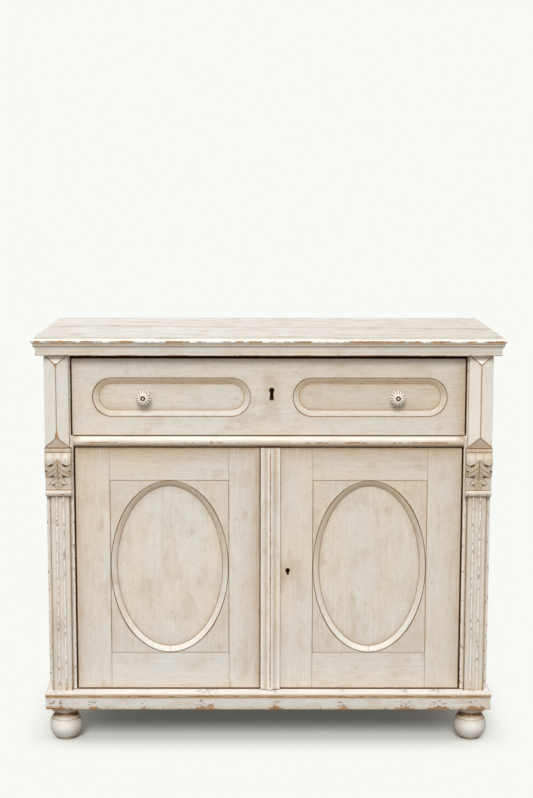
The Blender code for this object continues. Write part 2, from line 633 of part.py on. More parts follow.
def make_door(carrier, word, side, meeting, meeting_width):
    """Frame of two stiles and two rails round a board with an oval moulding and a sunk field."""
    panel_out = door_out - HINGE_STILE_WIDTH
    panel_in = side * meeting + meeting_width + FIT

    def span(first, second):
        return sorted((side * first, side * second))

    def member(name, left, right, low, high):
        return piece(f"{word}_door_{name}", box((left, face, low), (right, door_back, high), ARRIS), carrier)

    left, right = span(panel_out, door_out)
    stile = member("hinge_stile", left, right, door_low, door_high)
    for level, low, high in (("lower", door_low - FIT, door_low + PIN_IN_DOOR + FIT),
                             ("upper", door_high - PIN_IN_DOOR - FIT, door_high + FIT)):
        hole = round_hole(side * pin_x, pin_y, low, high, PIN_RADIUS + FIT)
        cut(stile, hole, f"{word}_{level}_pivot_hole")
    left, right = sorted((meeting, side * (panel_in - FIT)))
    meeting_stile = member("meeting_stile", left, right, door_low, door_high)
    left, right = span(panel_in, panel_out - FIT)
    member("lower_rail", left, right, door_low, panel_low - FIT)
    member("upper_rail", left, right, panel_high + FIT, door_high)

    middle = ((left + right) / 2, (panel_low + panel_high) / 2)
    across = (right - left) / 2 - OVAL_LIGAMENT
    up = PANEL_HEIGHT / 2 - OVAL_LIGAMENT

    def oval(inset, steps=56):
        return [(middle[0] + (across - inset) * math.cos(math.tau * i / steps),
                 middle[1] + (up - inset) * math.sin(math.tau * i / steps)) for i in range(steps)]

    board = box((left, face, panel_low), (right, field_y, panel_high))
    spandrels = piece(f"{word}_door_spandrels", board, carrier)
    cut(spandrels, through(oval(0.0), face - ARRIS, field_y + ARRIS), f"{word}_oval_hole")
    profile = [(FIT, face), (OVAL_LAND, face), (OVAL_LAND + OVAL_BEVEL, field_y), (FIT, field_y)]
    rings = [[(x, y, z) for x, z in oval(inset)] for inset, y in profile]
    piece(f"{word}_door_oval_moulding", loft(rings, closed=True), carrier)
    panel = box((left, field_y + FIT, panel_low), (right, door_back, panel_high))
    piece(f"{word}_door_panel", panel, carrier)
    return meeting_stile


def make_cover_strip(carrier):
    """Strip over the meeting of the doors: two coves between a middle ridge and two borders."""
    reach = STRIP_WIDTH / 2
    middle = right_meeting + reach
    steps = 6
    half = []
    for i in range(steps + 1):
        share = i / steps
        slope = STRIP_PROJECTION + (STRIP_EDGE - STRIP_PROJECTION) * share
        half.append((reach * share, face - slope + STRIP_COVE_DEPTH * math.sin(math.pi * share)))
    half.append((reach, face - FIT))
    plan = [(middle - x, y) for x, y in reversed(half)] + [(middle + x, y) for x, y in half[1:]]
    piece("right_door_cover_strip", upright(plan, door_low, door_high), carrier)


def lock_case(name, low, high, carrier):
    """Iron box, open towards the wood that it is screwed to."""
    item = piece(name, box(low, high), carrier, IRON)
    inner_low = (low[0] + LOCK_WALL, low[1] - LOCK_WALL, low[2] + LOCK_WALL)
    inner_high = (high[0] - LOCK_WALL, high[1] - LOCK_WALL, high[2] - LOCK_WALL)
    cut(item, box(inner_low, inner_high), f"{name}_hollow")
    return item


def drawer_lock_high():
    """Upper end of the drawer's lock case."""
    return drawer_high - DRAWER_LOCK_DROP


def drawer_bolt_corners(room=0.0):
    """The drawer's bolt at rest, flush with its case, with room added round it."""
    back = drawer_front_back + FIT + LOCK_DEPTH - LOCK_WALL - FIT
    low = (KEYHOLE_X - BOLT_WIDTH / 2 - room, back - BOLT_THICKNESS - room, drawer_lock_high() - BOLT_LENGTH)
    high = (KEYHOLE_X + BOLT_WIDTH / 2 + room, back + room, drawer_lock_high())
    return low, high


def edge_bolt_corners(room=0.0):
    """The left door's edge bolt at rest, in its groove, with room added round it."""
    right = left_meeting - FIT
    middle = face + DOOR_THICKNESS / 2
    high = door_high - EDGE_BOLT_DROP
    return ((right - EDGE_BOLT_SIZE - room, middle - EDGE_BOLT_SIZE / 2 - room, high - EDGE_BOLT_LENGTH),
            (right + room, middle + EDGE_BOLT_SIZE / 2 + room, high))


def make_door_furniture(left_door, right_door, edge_bolt, lock_bolt, left_stile, right_stile):
    """Edge bolt of the left door, and the keyhole, lock and bolt of the right one."""
    low, high = edge_bolt_corners()
    piece("left_door_edge_bolt", box(low, high), edge_bolt, IRON)
    groove_low, groove_high = edge_bolt_corners(FIT)
    groove = box((groove_low[0], groove_low[1], low[2] - FIT),
                 (left_meeting + FIT, groove_high[1], door_high + FIT))
    cut(left_stile, groove, "edge_bolt_groove")

    key_x = right_meeting + DOOR_KEYHOLE_FROM_EDGE
    key_low = door_low + DOOR_KEYHOLE_ABOVE
    outline = keyhole_outline(key_x, key_low, DOOR_KEYHOLE_HEIGHT, DOOR_KEYHOLE_HEAD_RADIUS)
    cut(right_stile, through(outline, face - ARRIS, door_back + ARRIS), "door_keyhole")

    middle = key_low + DOOR_KEYHOLE_HEIGHT / 2
    low = (right_meeting + DOOR_LOCK_INSET, door_back + FIT, middle - DOOR_LOCK_HEIGHT / 2)
    high = (low[0] + DOOR_LOCK_WIDTH, low[1] + LOCK_DEPTH, middle + DOOR_LOCK_HEIGHT / 2)
    case = lock_case("right_door_lock_case", low, high, right_door)
    back = high[1] - LOCK_WALL - FIT
    bolt_low = (low[0], back - BOLT_THICKNESS, key_low + DOOR_BOLT_RISE - BOLT_WIDTH / 2)
    bolt_high = (low[0] + BOLT_LENGTH, back, key_low + DOOR_BOLT_RISE + BOLT_WIDTH / 2)
    piece("right_door_lock_bolt", box(bolt_low, bolt_high), lock_bolt, IRON)
    slot = box((low[0] - LOCK_WALL, bolt_low[1] - FIT, bolt_low[2] - FIT),
               (low[0] + 2 * LOCK_WALL, bolt_high[1] + FIT / 2, bolt_high[2] + FIT))
    cut(case, slot, "right_door_bolt_slot")


def sunk_panel(x, length, z):
    """Cutter for a sunk panel with round ends and a bevelled border."""
    half = SUNK_PANEL_HEIGHT / 2
    rings = []
    for inset, y in ((-SUNK_PANEL_BEVEL / SUNK_PANEL_DEPTH * ARRIS, face - ARRIS),
                     (SUNK_PANEL_BEVEL, face + SUNK_PANEL_DEPTH)):
        radius = half - inset
        reach = length / 2 - half
        ends = list(arc((x + reach, z), radius, -90, 90, 14)) + list(arc((x - reach, z), radius, 90, 270, 14))
        rings.append([(px, y, pz) for px, pz in ends])
    return loft(rings)


def make_knob(name, x, z, carrier):
    """Ceramic knob with rounded petals on a short stem."""
    seat = face + SUNK_PANEL_DEPTH - FIT
    head = KNOB_LENGTH - KNOB_STEM_RADIUS
    steps = 4 * KNOB_PETALS
    rings = []
    profile = [(KNOB_STEM_RADIUS, 0.0, 0.0), (KNOB_STEM_RADIUS, KNOB_LENGTH - head, 0.0)]
    middle = KNOB_LENGTH - head / 2
    for degrees in (40, 62, 86, 110, 132, 152):
        lean = math.radians(degrees)
        profile.append((KNOB_RADIUS * math.sin(lean), middle - head / 2 * math.cos(lean), 1.0))
    for radius, out, petal in profile:
        ring = []
        for i in range(steps):
            turn = math.tau * i / steps
            dip = 1 - petal * KNOB_PETAL_DIP * (1 - abs(math.sin(KNOB_PETALS * turn / 2)))
            ring.append((x + radius * dip * math.cos(turn), seat - out, z + radius * dip * math.sin(turn)))
        rings.append(ring)
    piece(name, loft(rings), carrier, GLAZED_CERAMIC, smooth=True)


def make_drawer(drawer, lock_bolt):
    """Drawer box, its front with two sunk panels, the knobs, and the lock with its bolt."""
    board = box((-drawer_half, face, drawer_low), (drawer_half, drawer_front_back, drawer_high), ARRIS)
    front = piece("drawer_front", board, drawer)
    centre = drawer_low + SUNK_PANEL_ABOVE
    for word, side, from_end, from_keyhole, knob_offset in (
            ("left", -1, LEFT_SUNK_FROM_END, LEFT_SUNK_FROM_KEYHOLE, LEFT_KNOB_OFFSET),
            ("right", 1, RIGHT_SUNK_FROM_END, RIGHT_SUNK_FROM_KEYHOLE, RIGHT_KNOB_OFFSET)):
        outer_end = side * (drawer_half - from_end)
        inner_end = KEYHOLE_X + side * from_keyhole
        middle = (inner_end + outer_end) / 2
        cut(front, sunk_panel(middle, abs(outer_end - inner_end), centre), f"sunk_panel_{word}")
        make_knob(f"drawer_knob_{word}", middle + side * knob_offset, centre, drawer)
    outline = keyhole_outline(KEYHOLE_X, drawer_low + KEYHOLE_ABOVE, KEYHOLE_HEIGHT, KEYHOLE_HEAD_RADIUS)
    cut(front, through(outline, face - ARRIS, drawer_front_back + ARRIS), "drawer_keyhole")

    start = drawer_front_back + FIT
    side_high = drawer_low + DRAWER_SIDE_HEIGHT
    inner = drawer_side_out - DRAWER_SIDE_THICKNESS
    for side, word in ((-1, "left"), (1, "right")):
        low, high = sorted((side * inner, side * drawer_side_out))
        board = box((low, start, drawer_low), (high, drawer_end, side_high))
        piece(f"drawer_side_{word}", board, drawer, BARE_PINE)
    floor = drawer_low + DRAWER_BOTTOM_RISE
    floor_high = floor + DRAWER_BOTTOM_THICKNESS
    board = box((-inner + FIT, start, floor), (inner - FIT, drawer_end, floor_high))
    piece("drawer_bottom", board, drawer, BARE_PINE)
    board = box((-inner + FIT, drawer_end - DRAWER_SIDE_THICKNESS, floor_high + FIT),
                (inner - FIT, drawer_end, side_high))
    piece("drawer_back", board, drawer, BARE_PINE)

    high_z = drawer_lock_high()
    low = (KEYHOLE_X - DRAWER_LOCK_WIDTH / 2, start, high_z - DRAWER_LOCK_HEIGHT)
    high = (KEYHOLE_X + DRAWER_LOCK_WIDTH / 2, start + LOCK_DEPTH, high_z)
    case = lock_case("drawer_lock_case", low, high, drawer)
    bolt_low, bolt_high = drawer_bolt_corners()
    piece("drawer_lock_bolt", box(bolt_low, bolt_high), lock_bolt, IRON)
    slot = box((bolt_low[0] - FIT, bolt_low[1] - FIT, high_z - 2 * LOCK_WALL),
               (bolt_high[0] + FIT, bolt_high[1] + FIT / 2, high_z + LOCK_WALL))
    cut(case, slot, "drawer_bolt_slot")


def main():
    """Build the cupboard."""
    clear_scene()
    case = body("case", (0, 0, 0))
    left_door = body("left_door_pivot", (-pin_x, pin_y, door_low), case)
    right_door = body("right_door_pivot", (pin_x, pin_y, door_low), case)
    drawer = body("drawer_slide", (0, face, drawer_low), case)
    edge_bolt = body("edge_bolt_slide", edge_bolt_corners()[0], left_door)
    door_bolt = body("door_bolt_slide", (right_meeting, door_back, door_low + DOOR_KEYHOLE_ABOVE), right_door)
    drawer_bolt = body("drawer_bolt_slide", drawer_bolt_corners()[0], drawer)

    make_top(case)
    make_case(case)
    make_rails(case)
    make_pilasters(case)
    make_cornice(case)
    make_plinth(case)
    make_pins(case)
    left_stile = make_door(left_door, "left", -1, left_meeting, LEFT_MEETING_STILE_WIDTH)
    right_stile = make_door(right_door, "right", 1, right_meeting, RIGHT_MEETING_STILE_WIDTH)
    make_cover_strip(right_door)
    make_door_furniture(left_door, right_door, edge_bolt, door_bolt, left_stile, right_stile)
    make_drawer(drawer, drawer_bolt)


main()
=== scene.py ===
"""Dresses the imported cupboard: brushed cream paint, glazed tan and rubbed through to the pine."""

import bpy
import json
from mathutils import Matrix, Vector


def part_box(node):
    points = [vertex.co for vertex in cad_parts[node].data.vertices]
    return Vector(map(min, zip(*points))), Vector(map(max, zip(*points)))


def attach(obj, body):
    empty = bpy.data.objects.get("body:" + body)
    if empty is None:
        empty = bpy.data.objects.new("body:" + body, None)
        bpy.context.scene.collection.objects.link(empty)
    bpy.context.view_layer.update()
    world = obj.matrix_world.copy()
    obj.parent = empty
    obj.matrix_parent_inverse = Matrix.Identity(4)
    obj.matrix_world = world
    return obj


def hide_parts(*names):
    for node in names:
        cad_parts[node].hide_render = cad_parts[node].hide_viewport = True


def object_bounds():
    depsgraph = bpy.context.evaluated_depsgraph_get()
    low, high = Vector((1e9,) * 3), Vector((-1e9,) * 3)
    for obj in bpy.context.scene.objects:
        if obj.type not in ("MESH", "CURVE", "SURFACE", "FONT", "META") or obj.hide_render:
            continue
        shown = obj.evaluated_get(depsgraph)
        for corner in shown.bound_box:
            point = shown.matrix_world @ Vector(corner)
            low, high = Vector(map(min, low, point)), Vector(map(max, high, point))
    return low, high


bl_info = {
    "name": "Painted pine cupboard",
    "version": (1, 0, 0),
    "blender": (4, 5, 0),
    "location": "3D View > Sidebar > Cupboard",
    "description": "Builds the painted, carved and turned surfaces of a low pine cupboard on its frame",
    "category": "Object",
}

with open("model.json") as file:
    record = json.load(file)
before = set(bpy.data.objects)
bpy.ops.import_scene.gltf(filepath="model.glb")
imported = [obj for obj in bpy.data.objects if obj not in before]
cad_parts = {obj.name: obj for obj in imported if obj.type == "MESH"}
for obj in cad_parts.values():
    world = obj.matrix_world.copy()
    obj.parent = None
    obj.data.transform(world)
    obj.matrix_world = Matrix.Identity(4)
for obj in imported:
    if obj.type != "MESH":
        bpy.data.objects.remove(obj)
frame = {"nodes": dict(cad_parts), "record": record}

import json
import math

import bmesh
import bpy
import numpy as np
from mathutils import Matrix

CAD_BOX = [list(corner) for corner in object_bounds()]
RECORD = frame["record"]
BODY_OF = {node: body for body, nodes in RECORD["behaviour"]["bodies"].items() for node in nodes}
SLOT_OF = {part["node"]: part["material_slot"] for part in RECORD["subparts"]}
SIDES = (("left", -1), ("right", 1))
IMAGE_HEIGHT = 798                              # pixels of the photograph's frame

# All lengths are in metres
WELD = 1e-6                                     # points closer than this are one point
FADE_ROWS = (0.0015, 0.0035, 0.008, 0.018, 0.04)  # rows of points near an edge, for wear and glaze
WEAR_REACH = 0.0016                             # how fast wear fades away from an edge
GLAZE_REACH = 0.017                             # and how fast the tan glaze does
SHADOW_HANG_REACH = 0.024                              # and how far a painted shadow hangs down from an upper edge, under the part above
JOINT_SHADE_REACH = 0.0008                             # and how fast the dirt and painted shade in a joint or gap fade
MORTISE_ROOM = 0.0015                           # room round a bolt in its mortise


def linear(code):
    """Turns an sRGB hex value such as d8d0c4 into linear red, green and blue."""
    srgb = np.array([int(code[i:i + 2], 16) for i in (0, 2, 4)]) / 255
    light = np.where(srgb <= 0.04045, srgb / 12.92, ((srgb + 0.055) / 1.055) ** 2.4)
    return tuple(float(value) for value in light)


def node_box(node):
    """Lowest and highest corner of a frame node, as two arrays."""
    return tuple(np.array(corner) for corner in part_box(node))


def stated(part, kind, name):
    """Entry of that name in one of the record's lists, such as the joints of its behaviour."""
    for entry in RECORD[part][kind]:
        if entry["name"] == name:
            return entry
    raise ValueError(f"the record's {kind} hold nothing named {name}")


GAP = float(node_box("side_left")[0][1] - node_box("stile_left")[1][1])   # left between pieces that touch


def colour(name, code, words):
    """A colour that the user can change, given as an sRGB hex value."""
    return bpy.props.FloatVectorProperty(name=name, description=words, subtype="COLOR", size=3, min=0.0,
                                         max=1.0, default=linear(code))


def length(name, metres, words):
    """A size in metres that the user can change."""
    return bpy.props.FloatProperty(name=name, description=words, unit="LENGTH", min=0.0, precision=5,
                                   default=metres)


def angle(name, radians, words):
    """An angle that the user can change."""
    return bpy.props.FloatProperty(name=name, description=words, unit="ROTATION", default=radians)


def strength(name, value, words):
    """The strength of a light that the user can change."""
    return bpy.props.FloatProperty(name=name, description=words, min=0.0, default=value)


class CupboardColours(bpy.types.PropertyGroup):
    """Colours of the finishes"""

    paint: colour("Paint", "dfdad1", "Cream of the brushed paint")
    paint_warm: colour("Warm paint", "e4d7c5", "Cream where the glaze has tinted it")
    paint_cool: colour("Washed paint", "dad6cf", "Greyer cream low down, where it is washed most")
    paint_top: colour("Top paint", "f7f3ec", "Rubbed, paler cream of the top")
    paint_thin: colour("Thin paint", "cbbca4", "Thin places between the strokes, dulled by the wood")
    # Bright paint: the crests of the brush strokes, and also the painted highlight where the glaze attribute
    # is below nought
    paint_crest_and_highlight: colour("Bright paint", "fcf8f0", "Crests of the brush strokes")
    # The glaze colour is tan glaze, and also painted shade under overhangs, in coves and on faces turned from
    # the light
    glaze: colour("Glaze", "b38c54", "Tan glaze that lies in hollows and along edges")
    grain: colour("Grain", "9c8463", "Grain lines that show through the paint")
    bare_wood: colour("Rubbed wood", "c58a48", "Pine where the paint is rubbed through")
    # Old wood is also the colour of the painted shade in gaps and creases, where the glaze attribute is above
    # one
    old_wood: colour("Old wood", "64401e", "Dark rim of a rubbed place, and dirt in the joints")
    inside_wood: colour("Inside wood", "b48a58", "Bare pine inside the case")
    inside_dark: colour("Inside grain", "80562e", "Late wood and knots of the bare pine")
    ceramic: colour("Knob", "fffaee", "Glaze of the knobs")
    brass: colour("Brass", "5a3d20", "Rosettes of the knobs")
    steel: colour("Steel", "e9e4da", "Screws of the knobs")
    iron: colour("Iron", "46413c", "Locks, bolts and pins")
    rust: colour("Rust", "6d452c", "Rust on the iron")
    dust: colour("Dust", "868481", "Grey dust and soot under the case")
    floor: colour("Floor", "f4f5f0", "Studio floor")
    backdrop: colour("Backdrop", "f8f9f4", "Studio background, into which the floor fades")


class CupboardSizes(bpy.types.PropertyGroup):
    """Sizes of the fine shapes"""

    arris: length("Arris", 0.0010, "Rounding of the outer edges of the timber")
    joint: length("Joint", 0.0002, "Rounding of the edges that meet in a joint")
    nosing_width: length("Nosing width", 0.043, "Strip along the front of the top, up to its joint")
    nosing_fillet: length("Nosing fillet", 0.0045, "Square step under the rounded edge of the top")
    nosing_inset: length("Nosing inset", 0.005, "How far that step stands back")
    top_corner: length("Top corner", 0.006, "Rounding of the top's front corners, seen from above")
    cornice_foot: length("Cornice foot", 0.0110, "Height of the flat band under the cornice's cove")
    cornice_step: length("Cornice step", 0.0055, "How far that band stands behind the cornice's upper edge")
    cornice_cove: length("Cornice cove", 0.0055, "Depth of the cornice's cove")
    rail_nose: length("Rail nose", 0.016, "Depth of the half-round front of the rail")
    bead_height: length("Bead height", 0.010, "Bead along the plinth's upper edge")
    bead_reach: length("Bead reach", 0.0015, "How far that bead stands out")
    flute_width: length("Flute width", 0.013, "Width of one flute")
    flute_depth: length("Flute depth", 0.0050, "Depth of one flute")
    flute_land: length("Flute land", 0.0034, "Flat between two flutes")
    block_edge: length("Block edge", 0.010, "Thickness of the faceted blocks at the border")
    block_hip: length("Block hip", 0.024, "From a block's end to the end of its ridge")
    corbel_roll: length("Corbel roll", 0.016, "Height of the roll under the leaf")
    corbel_cap: length("Corbel cap", 0.010, "Height of the cap over the leaf")
    leaf_relief: length("Leaf relief", 0.0048, "Depth of the carving of the leaf")
    oval_land: length("Oval land", 0.0035, "Rounded border of the oval mouldings")
    oval_width: length("Oval width", 0.016, "Whole width of the oval mouldings")
    oval_margin: length("Oval margin", 0.0004, "Wood between an oval and the edge of its board")
    dish_width: length("Dish bevel", 0.0145, "Bevel of the drawer's sunk panels")
    dish_depth: length("Dish depth", 0.007, "Depth of the drawer's sunk panels")
    dish_height: length("Dish height", 0.0934, "Height of the drawer's sunk panels")
    petal_dip: bpy.props.FloatProperty(name="Petal dip", default=0.15, min=0.0, max=0.5, subtype="FACTOR",
                                       description="Share of a knob's radius lost between two petals")
    petals: bpy.props.IntProperty(name="Petals", default=14, min=6, max=24,
                                  description="Petals round a knob")


class CupboardStage(bpy.types.PropertyGroup):
    """Light and camera"""

    eye: bpy.props.FloatVectorProperty(name="Eye", description="Camera's place", subtype="TRANSLATION",
                                       size=3, unit="LENGTH", default=(-0.018, -4.0168, 1.3952))
    pitch: angle("Pitch", 0.14379, "How far the camera looks down")
    yaw: angle("Yaw", 0.00338, "How far the camera looks to the right")
    roll: angle("Roll", 0.00144, "How far the camera leans")
    focal: bpy.props.FloatProperty(name="Focal length", description="In pixels of the photograph's frame",
                                   default=1607.97, subtype="PIXEL")
    sky: strength("Sky", 0.42, "Strength of the sky at the horizon")
    zenith: strength("Zenith", 0.77, "Strength of the sky overhead")
    ground: strength("Ground", 0.29, "Strength of the even light from below")
    lamp: strength("Lamp", 1.94, "Strength of the high front light")
    lamp_spread: angle("Lamp spread", math.radians(24), "Width of that light in the sky")
    lamp_tilt: angle("Lamp tilt", math.radians(53), "Its lean from overhead to the front")
    lamp_turn: angle("Lamp turn", math.radians(8), "Its lean to the left")
    floor_fade: bpy.props.FloatVectorProperty(
        name="Floor fade", size=2, unit="LENGTH", default=(0.0, 0.14),
        description="Distances from the case over which the floor fades into the background")


# Materials

FACTOR, FIRST, SECOND, RESULT = 0, 6, 7, 2      # sockets of a colour Mix node
RANGE = ("Value", "From Min", "From Max", "To Min", "To Max")   # inputs of a Map Range node
PAINT_PATTERNS = {                              # sizes across and along the grain, detail and roughness
    "blotches": (0.10, 0.24, 4.0, 0.55),
    "clouds": (0.045, 0.070, 4.0, 0.6),
    "mottle": (0.009, 0.015, 4.0, 0.6),
    "stains": (0.026, 0.045, 5.0, 0.62),
    "streaks": (0.010, 0.21, 3.0, 0.6),
    "strokes": (0.0032, 0.085, 3.0, 0.55),      # several bristle marks taken together, so that they show
    "bristles": (0.0012, 0.050, 2.0, 0.55),
    "lines": (0.0026, 0.22, 4.0, 0.7),
    "scuffs": (0.0045, 0.011, 4.0, 0.62),
}
WORM_SPACING = 0.034                            # one hole or none in each cell of this size
LATE_WOOD = (0.0050, 0.40)                      # size of the late wood's lines across and along the grain
GREY_PATCH = 0.15                               # and of the bare pine's grey patches
KNOT_SPACING = 0.16
GLAZE_CLOUD = 0.006                             # thicker and thinner places of the knobs' glaze
CRAZING_SIZE = 0.004


def add(tree, kind, inputs=None, **settings):
    """Adds one node, sets its options, and fills or links its inputs."""
    item = tree.nodes.new(kind)
    for key, value in settings.items():
        setattr(item, key, value)
    for key, value in (inputs or {}).items():
        if isinstance(value, bpy.types.NodeSocket):
            tree.links.new(value, item.inputs[key])
        else:
            item.inputs[key].default_value = value
    return item


def new_finish(name, roughness, metallic=0.0):
    """An empty material, its node tree, its shader and the Object coordinates."""
    material = bpy.data.materials.new(name)
    material.use_nodes = True
    tree = material.node_tree
    shader = tree.nodes["Principled BSDF"]
    shader.inputs["Roughness"].default_value = roughness
    shader.inputs["Metallic"].default_value = metallic
    place = add(tree, "ShaderNodeTexCoord").outputs["Object"]
    return material, tree, shader, place


def grain_scale(grain, across, along):
    """Scale of a pattern that is stretched along the grain: one over its sizes in metres."""
    return tuple(1 / along if axis == grain else 1 / across for axis in "xyz")


def opaque(values):
    """A colour with its alpha."""
    return (*values, 1.0)


def layered(tree, coat, layers, curve="LINEAR"):
    """Lays colours over a first coat one by one and returns the last coat.

    Each layer is (driver, limits, colour). The limits, two values of the driver and the shares that the
    colour covers there, make the driver a share. Without limits it is one already.
    """
    coat = opaque(coat)
    for share, limits, tint in layers:
        if limits:
            share = add(tree, "ShaderNodeMapRange", dict(zip(RANGE, (share, *limits))),
                        interpolation_type=curve).outputs["Result"]
        if not isinstance(tint, bpy.types.NodeSocket):
            tint = opaque(tint)
        coat = add(tree, "ShaderNodeMix", {FACTOR: share, FIRST: coat, SECOND: tint},
                   data_type="RGBA").outputs[RESULT]
    return coat


def brushed_paint(grain):
    """Oil paint brushed on pine, glazed and rubbed through.

    The eye sees cool and warm patches a hand wide, thin places a thumb wide, bristle strokes of 1 to 3 mm
    along the grain, tan glaze in hollows, dark dirt in the joints, orange pine with a dark rim on worn edges,
    and a few wormholes. Glaze from 0 to 1 is the tan, and from 1 to 2 the dirt over it; below 0 the paint is
    brightest. The glaze also paints light: its tan is painted shade as well under overhangs and on faces
    turned from the light, its dirt is painted shade as well in gaps and creases, and below 0 it is a painted
    highlight. Thinner paint towards the right is a painted shade, as if the light came from the left.
    """
    name = f"brushed_oil_paint_on_pine_{grain}"
    if name in bpy.data.materials:
        return bpy.data.materials[name]
    colours = bpy.context.scene.cupboard_colours
    material, tree, shader, place = new_finish(name, 0.58)
    at = {key: add(tree, "ShaderNodeAttribute", attribute_name=key).outputs["Fac"]
          for key in ("wear", "glaze")}
    for key, (across, along, detail, rough) in PAINT_PATTERNS.items():
        vector = add(tree, "ShaderNodeMapping", {"Vector": place, "Scale": grain_scale(grain, across, along)})
        inputs = {"Vector": vector.outputs["Vector"], "Scale": 1.0, "Detail": detail, "Roughness": rough}
        at[key] = add(tree, "ShaderNodeTexNoise", inputs).outputs["Fac"]
    where = add(tree, "ShaderNodeSeparateXYZ", {0: place}).outputs
    worms = add(tree, "ShaderNodeTexVoronoi", {"Vector": place, "Scale": 1 / WORM_SPACING}).outputs
    chance = add(tree, "ShaderNodeSeparateColor", {"Color": worms["Color"]}).outputs["Red"]
    at.update(across=where["X"], level=where["Z"], from_worm=worms["Distance"], chance=chance)
    top_face = (CAD_BOX[1][2] - 0.016, CAD_BOX[1][2] - 0.004)

    # Values worked out from the patterns, in order: a name, how, and from what
    steps = (
        ("loose", "SUBTRACT", "scuffs", 0.5),
        ("ragged", "MULTIPLY", "loose", 1.7),
        ("rubbed", "ADD", "wear", "ragged"),
        ("bare", "RANGE", "rubbed", 0.74, 0.86, 0.0, 1.0),
        # Glaze above one: dark dirt, and painted shade in gaps, creases and under overhangs
        ("dark_dirt_and_shade", "ADD", "glaze", "ragged"),
        ("streak", "RANGE", "streaks", 0.50, 0.74, 0.0, 1.0),
        ("streak_share", "RANGE", "level", *top_face, 0.16, 0.85),
        ("streaked", "MULTIPLY", "streak", "streak_share"),
        # Glaze up to one: the tan share, which is tan glaze and also painted shade
        ("tan", "MINIMUM", "glaze", 1.0),
        ("tan_share", "RANGE", "bristles", 0.22, 0.62, 0.45, 1.0),
        ("brushed_tan", "MULTIPLY", "tan", "tan_share"),
        ("hollow", "MULTIPLY", "brushed_tan", 0.85),
        ("pit", "RANGE", "from_worm", 0.045, 0.028, 0.0, 1.0),
        ("rare", "GREATER_THAN", "chance", 0.86),
        ("hole", "MULTIPLY", "pit", "rare"),
        ("dark_hole", "MULTIPLY", "hole", 0.85),
        ("bristle_height", "MULTIPLY", "bristles", 0.22),
        ("brushed", "MULTIPLY_ADD", "strokes", 0.5, "bristle_height"),
        ("rubbed_depth", "MULTIPLY", "bare", 0.6),
        ("worn", "SUBTRACT", "brushed", "rubbed_depth"),
        ("hole_depth", "MULTIPLY", "hole", 1.5),
        ("relief", "SUBTRACT", "worn", "hole_depth"),
        ("roughness", "RANGE", "bristles", 0.3, 0.7, 0.50, 0.68),
    )
    for key, how, *values in steps:
        values = [at.get(value, value) for value in values]
        if how == "RANGE":
            at[key] = add(tree, "ShaderNodeMapRange", dict(zip(RANGE, values)),
                          interpolation_type="SMOOTHSTEP").outputs["Result"]
        else:
            at[key] = add(tree, "ShaderNodeMath", dict(enumerate(values)), operation=how).outputs[0]

    wood = layered(tree, colours.bare_wood, [(at["bristles"], (0.40, 0.66, 0.0, 0.6), colours.old_wood)],
                   "SMOOTHSTEP")
    layers = (
        ("blotches", (0.38, 0.66, 0.0, 1.0), colours.paint_warm),
        ("level", (0.40, 0.16, 0.0, 1.0), colours.paint_cool),
        ("level", (*top_face, 0.0, 1.0), colours.paint_top),
        # Thinner paint towards the right: a painted shade, as if the light came from the left
        ("across", (-0.25, 0.50, 0.0, 0.22), colours.paint_thin),
        ("clouds", (0.48, 0.68, 0.0, 0.50), colours.paint_thin),
        ("mottle", (0.50, 0.72, 0.0, 0.44), colours.paint_thin),
        ("streaked", None, colours.paint_thin),
        ("stains", (0.56, 0.76, 0.0, 0.30), colours.glaze),
        ("strokes", (0.49, 0.74, 0.0, 0.24), colours.paint_crest_and_highlight),
        ("bristles", (0.53, 0.74, 0.0, 0.17), colours.paint_thin),
        # Glaze below nought: a painted highlight in the brightest paint
        ("glaze", (0.0, -1.0, 0.0, 0.96), colours.paint_crest_and_highlight),
        ("hollow", None, colours.glaze),
        ("lines", (0.63, 0.74, 0.0, 0.30), colours.grain),
        # Glaze above one: dark dirt and painted shade, in old wood
        ("dark_dirt_and_shade", (1.05, 1.50, 0.0, 0.92), colours.old_wood),
        ("rubbed", (0.62, 0.74, 0.0, 0.70), colours.old_wood),
        ("bare", None, wood),
        ("dark_hole", None, colours.old_wood),
    )
    coat = layered(tree, colours.paint, [(at[key], limits, tint) for key, limits, tint in layers],
                   "SMOOTHSTEP")
    bump = add(tree, "ShaderNodeBump", {"Height": at["relief"], "Strength": 0.40, "Distance": 0.0005})
    tree.links.new(coat, shader.inputs["Base Color"])
    tree.links.new(bump.outputs["Normal"], shader.inputs["Normal"])
    tree.links.new(at["roughness"], shader.inputs["Roughness"])
    return material


